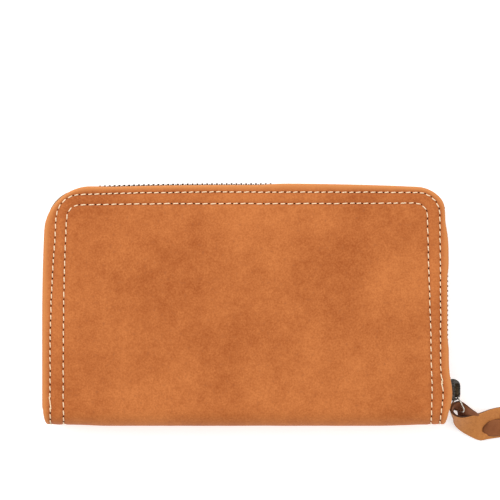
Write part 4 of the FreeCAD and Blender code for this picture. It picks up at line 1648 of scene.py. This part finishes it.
@dataclass
class Interior:
    """Card slots, the pleated gussets and the zipped coin pocket."""

    wallet: Wallet
    palette: Palette
    slot_count: int = 4
    mouth_inset: float = 1.8
    stitch: float = 2.8

    @staticmethod
    def _panel(node: str, radius: float) -> tuple[list[Pair], float, float]:
        """A packed sheet's outline, with its two upper corners rounded.

        Args:
            node: the sheet's node.
            radius: the corners' radius.

        Returns:
            The outline, and the sheet's two heights.
        """
        low, high = box_mm(node)
        inset = 0.05
        x0, x1, y0, y1 = low.x + inset, high.x - inset, low.y + inset, high.y - inset
        cut = 0.3  # the lower corners are cut nearly square
        corners = [(x1, y0, 270, cut), (x1, y1, 0, radius), (x0, y1, 90, radius), (x0, y0, 180, cut)]
        outline = []
        for x, y, first, r in corners:
            cx = x - r if x > 0 else x + r
            cy = y - r if y == y1 else y + r
            for k in range(6):
                a = math.radians(first + 18 * k)
                outline.append((cx + r * math.cos(a), cy + r * math.sin(a)))
        return outline, low.z, high.z

    def _row(self, pile: MeshPile, start: Vector, end: Vector, up: Vector) -> None:
        """Adds a straight row of small stitches that lies on a face.

        Args:
            pile: the mesh that it joins.
            start: where the row begins.
            end: where it ends.
            up: the way that the face faces.
        """
        count = max(1, round((end - start).length / self.stitch))
        step = (end - start) / count
        for i in range(count):
            base = start + step * i
            rise = ((0.16, -0.12), (0.3, 0.06), (0.7, 0.06), (0.84, -0.12))
            spine = [base + step * t + up * h for t, h in rise]
            pile.tube(spine, [0.14, 0.2, 0.2, 0.14], 6, up)

    def build_cards(self, side: Side) -> None:
        """One cover's card panel and its four rows of slots, divided down the middle.

        Args:
            side: the cover that they belong to.
        """
        up = Vector((0, 0, 1 if side is Side.BACK else -1))
        slots = [f"card_slot_{n}_{side.value}" for n in range(1, self.slot_count + 1)]
        thread = MeshPile()
        for name in (f"card_panel_{side.value}", *slots):
            outline, low, high = self._panel(name, 9.0 if "panel" in name else 1.2)
            pile = MeshPile()
            pile.prism(outline, low + 0.01, high - 0.01, 0.13)
            mouth = max(p[1] for p in pile.points)
            pile.marks = {
                "wear_and_sheen": [0.6 if mouth - p[1] < 1.2 else 0.0 for p in pile.points],
                "groove_shade": [0.0] * len(pile.points),
            }
            piece = pile.piece(name.replace("card_", "leather_card_"), self.palette.inner_leather)
            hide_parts(name)
            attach(piece, side.body)
            if "slot" not in name:
                continue
            face = high if side is Side.BACK else low
            box_low, box_high = box_mm(name)
            y = box_high.y - self.mouth_inset
            for x0, x1 in ((box_low.x + 2.5, -1.6), (1.6, box_high.x - 2.5)):
                self._row(thread, Vector((x0, y, face)), Vector((x1, y, face)), up)
            below = box_low.y if name.endswith(f"{self.slot_count}_{side.value}") else box_high.y - 12
            self._row(thread, Vector((0, below + 1.0, face)), Vector((0, box_high.y - 0.4, face)), up)
        piece = thread.piece(f"card_stitches_{side.value}", self.palette.brown_thread)
        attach(piece, side.body)

    def build_gusset(self, side: Side, right: bool) -> None:
        """One pleated gusset, built where the model places it.

        Args:
            side: the cover that it joins.
            right: whether it is on the slider's side.
        """
        name = f"gusset_{'right' if right else 'left'}_{side.value}"
        low, high = box_mm(name)
        out_x, in_x = (high.x, low.x) if right else (low.x, high.x)
        leather = 0.28
        first, last = low.z + leather / 2, high.z - leather / 2
        way = -1 if right else 1
        plies, parts = 4, 8
        pile, points, faces = MeshPile(), [], []
        lines = []
        for k in range(plies * parts + 1):
            ply, t = divmod(k, parts)
            share = t / parts if ply % 2 == 0 else 1 - t / parts
            eased = 0.5 - 0.5 * math.cos(math.pi * share)
            x = out_x + way * (0.3 + (abs(out_x - in_x) - 2.6) * (0.6 * share + 0.4 * eased))
            z = first + (last - first) * k / (plies * parts)
            lines.append((x, z))
        across = 10
        for skin in (1, -1):
            for x, z in lines:
                for j in range(across + 1):
                    y = low.y + 0.3 + (high.y - low.y - 0.6) * j / across
                    points.append((x + skin * leather * 1.6, y, z + skin * leather * 0.12))
        size, width = len(lines) * (across + 1), across + 1
        for i in range(len(lines) - 1):
            for j in range(across):
                a, b = i * width + j, (i + 1) * width + j
                faces += [(a, a + 1, b + 1, b), (size + a, size + b, size + b + 1, size + a + 1)]
            a, b = i * width, i * width + across
            faces += [(a, a + width, size + a + width, size + a), (b, size + b, size + b + width, b + width)]
        for i in (0, len(lines) - 1):
            for j in range(across):
                a = i * width + j
                faces.append((a, size + a, size + a + 1, a + 1))
        pile.add(points, faces)
        pile.marks = {"wear_and_sheen": [0.0] * len(points), "groove_shade": [0.0] * len(points)}
        piece = pile.piece(f"leather_{name}", self.palette.inner_leather, sharp=70)
        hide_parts(name)
        if side is Side.BACK:
            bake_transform(piece)
        else:
            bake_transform(piece)

    def build_pocket(self) -> None:
        """The coin pocket: two walls, their strip, the small zip and its stitching."""
        thread = MeshPile()
        for side in Side:
            name = f"coin_wall_{side.value}"
            outline, low, high = self._panel(name, 4.0)
            wall = MeshPile()
            wall.prism(outline, low + 0.01, high - 0.01, 0.15)
            piece = wall.piece(f"coin_pocket_wall_{side.value}", self.palette.lining)
            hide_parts(name)
            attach(piece, "coin_pocket")
            up = Vector((0, 0, -1 if side is Side.BACK else 1))
            face = low if side is Side.BACK else high
            box_low, box_high = box_mm(name)
            for drop in (2.0, 6.4):
                y = box_high.y - drop
                self._row(thread, Vector((box_low.x + 4, y, face)), Vector((box_high.x - 4, y, face)), up)
            self.build_coil(side)
            dress(f"coin_zip_tape_{side.value}", self.palette.tape, 0.08)
        rows = thread.piece("coin_pocket_stitches", self.palette.brown_thread)
        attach(rows, "coin_pocket")
        dress("coin_gusset", self.palette.lining, 0.12)
        dress("coin_zip_stops", self.palette.gunmetal, 0.12)
        dress("coin_zip_slider", self.palette.gunmetal, 0.15)
        dress("coin_zip_pull", self.palette.gunmetal, 0.18)

    def build_coil(self, side: Side) -> None:
        """One half of the small zip: a wound nylon coil.

        Args:
            side: the wall that it is sewn to.
        """
        name = f"coin_zip_coil_{side.value}"
        low, high = box_mm(name)
        middle = (low + high) / 2
        half_y, half_z = (high.y - low.y) / 2 - 0.17, (high.z - low.z) / 2 - 0.17
        pitch, turn = 1.25, 10
        count = int((high.x - low.x - 0.6) / pitch) * turn
        spine = []
        for i in range(count + 1):
            a = 2 * math.pi * i / turn
            y, z = middle.y + half_y * math.cos(a), middle.z + half_z * math.sin(a)
            spine.append(Vector((low.x + 0.3 + pitch * i / turn, y, z)))
        pile = MeshPile()
        pile.tube(spine, [0.16] * len(spine), 6, Vector((1, 0, 0)))
        piece = pile.piece(f"nylon_coil_{side.value}", self.palette.nylon)
        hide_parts(name)
        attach(piece, "coin_pocket")

    def build(self) -> None:
        """Everything inside the covers."""
        for side in Side:
            self.build_cards(side)
            for right in (True, False):
                self.build_gusset(side, right)
        self.build_pocket()


@dataclass
class Studio:
    """A pale floor, soft light all round and one long lens straight above."""

    view_x: float = 2.1
    view_y: float = 25.6
    view_width: float = 234.0
    camera_height: float = 1225.0
    focus_height: float = 25.0
    sensor: float = 36.0
    floor_half: float = 1500.0
    lamps: list[tuple[str, Triple, float, float]] = field(
        default_factory=lambda: [
            ("window_left", (-700.0, 420.0, 900.0), 800.0, 6.4),
            ("window_right", (760.0, -260.0, 1000.0), 900.0, 3.0),
            ("window_far", (60.0, 900.0, 700.0), 800.0, 3.4),
        ]
    )

    def build_floor(self) -> None:
        """The surface that the wallet lies on."""
        pile = MeshPile()
        h = self.floor_half
        pile.prism([(-h, -h), (h, -h), (h, h), (-h, h)], -20.0, -0.35, 2.0)
        paper = Plain(
            "lit_paper_white", "#FBFBFB", "#F6F6F6", roughness=0.9, grain_mm=30.0, glow=0.42
        ).material()
        pile.piece("studio_floor", paper)

    def build_lights(self) -> None:
        """Even light from the room and three soft windows."""
        world = bpy.data.worlds.new("studio_room")
        world.use_nodes = True
        background = world.node_tree.nodes["Background"]
        background.inputs["Color"].default_value = (1.0, 1.0, 1.0, 1.0)
        background.inputs["Strength"].default_value = 0.62
        bpy.context.scene.world = world
        for name, at, size, power in self.lamps:
            light = bpy.data.lights.new(name, "AREA")
            light.shape = "DISK"
            light.size = size * MM
            light.energy = power
            lamp = bpy.data.objects.new(name, light)
            lamp.location = Vector(at) * MM
            lamp.rotation_mode = "QUATERNION"
            lamp.rotation_quaternion = (-Vector(at)).to_track_quat("-Z", "Y")
            bpy.context.scene.collection.objects.link(lamp)

    def build_camera(self) -> None:
        """The camera, looking straight down at the front cover."""
        data = bpy.data.cameras.new("camera")
        data.sensor_width = self.sensor
        data.lens = self.sensor * (self.camera_height - self.focus_height) / self.view_width
        data.clip_start, data.clip_end = 0.05, 20.0
        camera = bpy.data.objects.new("camera", data)
        camera.location = Vector((self.view_x, self.view_y, self.camera_height)) * MM
        bpy.context.scene.collection.objects.link(camera)
        bpy.context.scene.camera = camera

    def build(self) -> None:
        """Floor, lights and camera."""
        self.build_floor()
        self.build_lights()
        self.build_camera()
        bpy.context.scene.view_settings.view_transform = "Standard"


def main() -> None:
    """Builds the wallet piece by piece and reports each."""
    logging.basicConfig(level=logging.INFO, format="%(message)s")
    palette = Palette()
    wallet = Wallet.from_frame()
    Studio().build()
    covers = Covers(wallet, palette)
    for make in (covers.build_leather, covers.build_lining, covers.build_stitching, covers.build_padding):
        make()
        LOG.info("covers: %s done", make.__name__)
    MainZip(wallet, palette).build()
    LOG.info("main zip done")
    Puller(palette).build()
    LOG.info("puller done")
    Interior(wallet, palette).build()
    LOG.info("interior done")


if __name__ == "__main__":
    main()
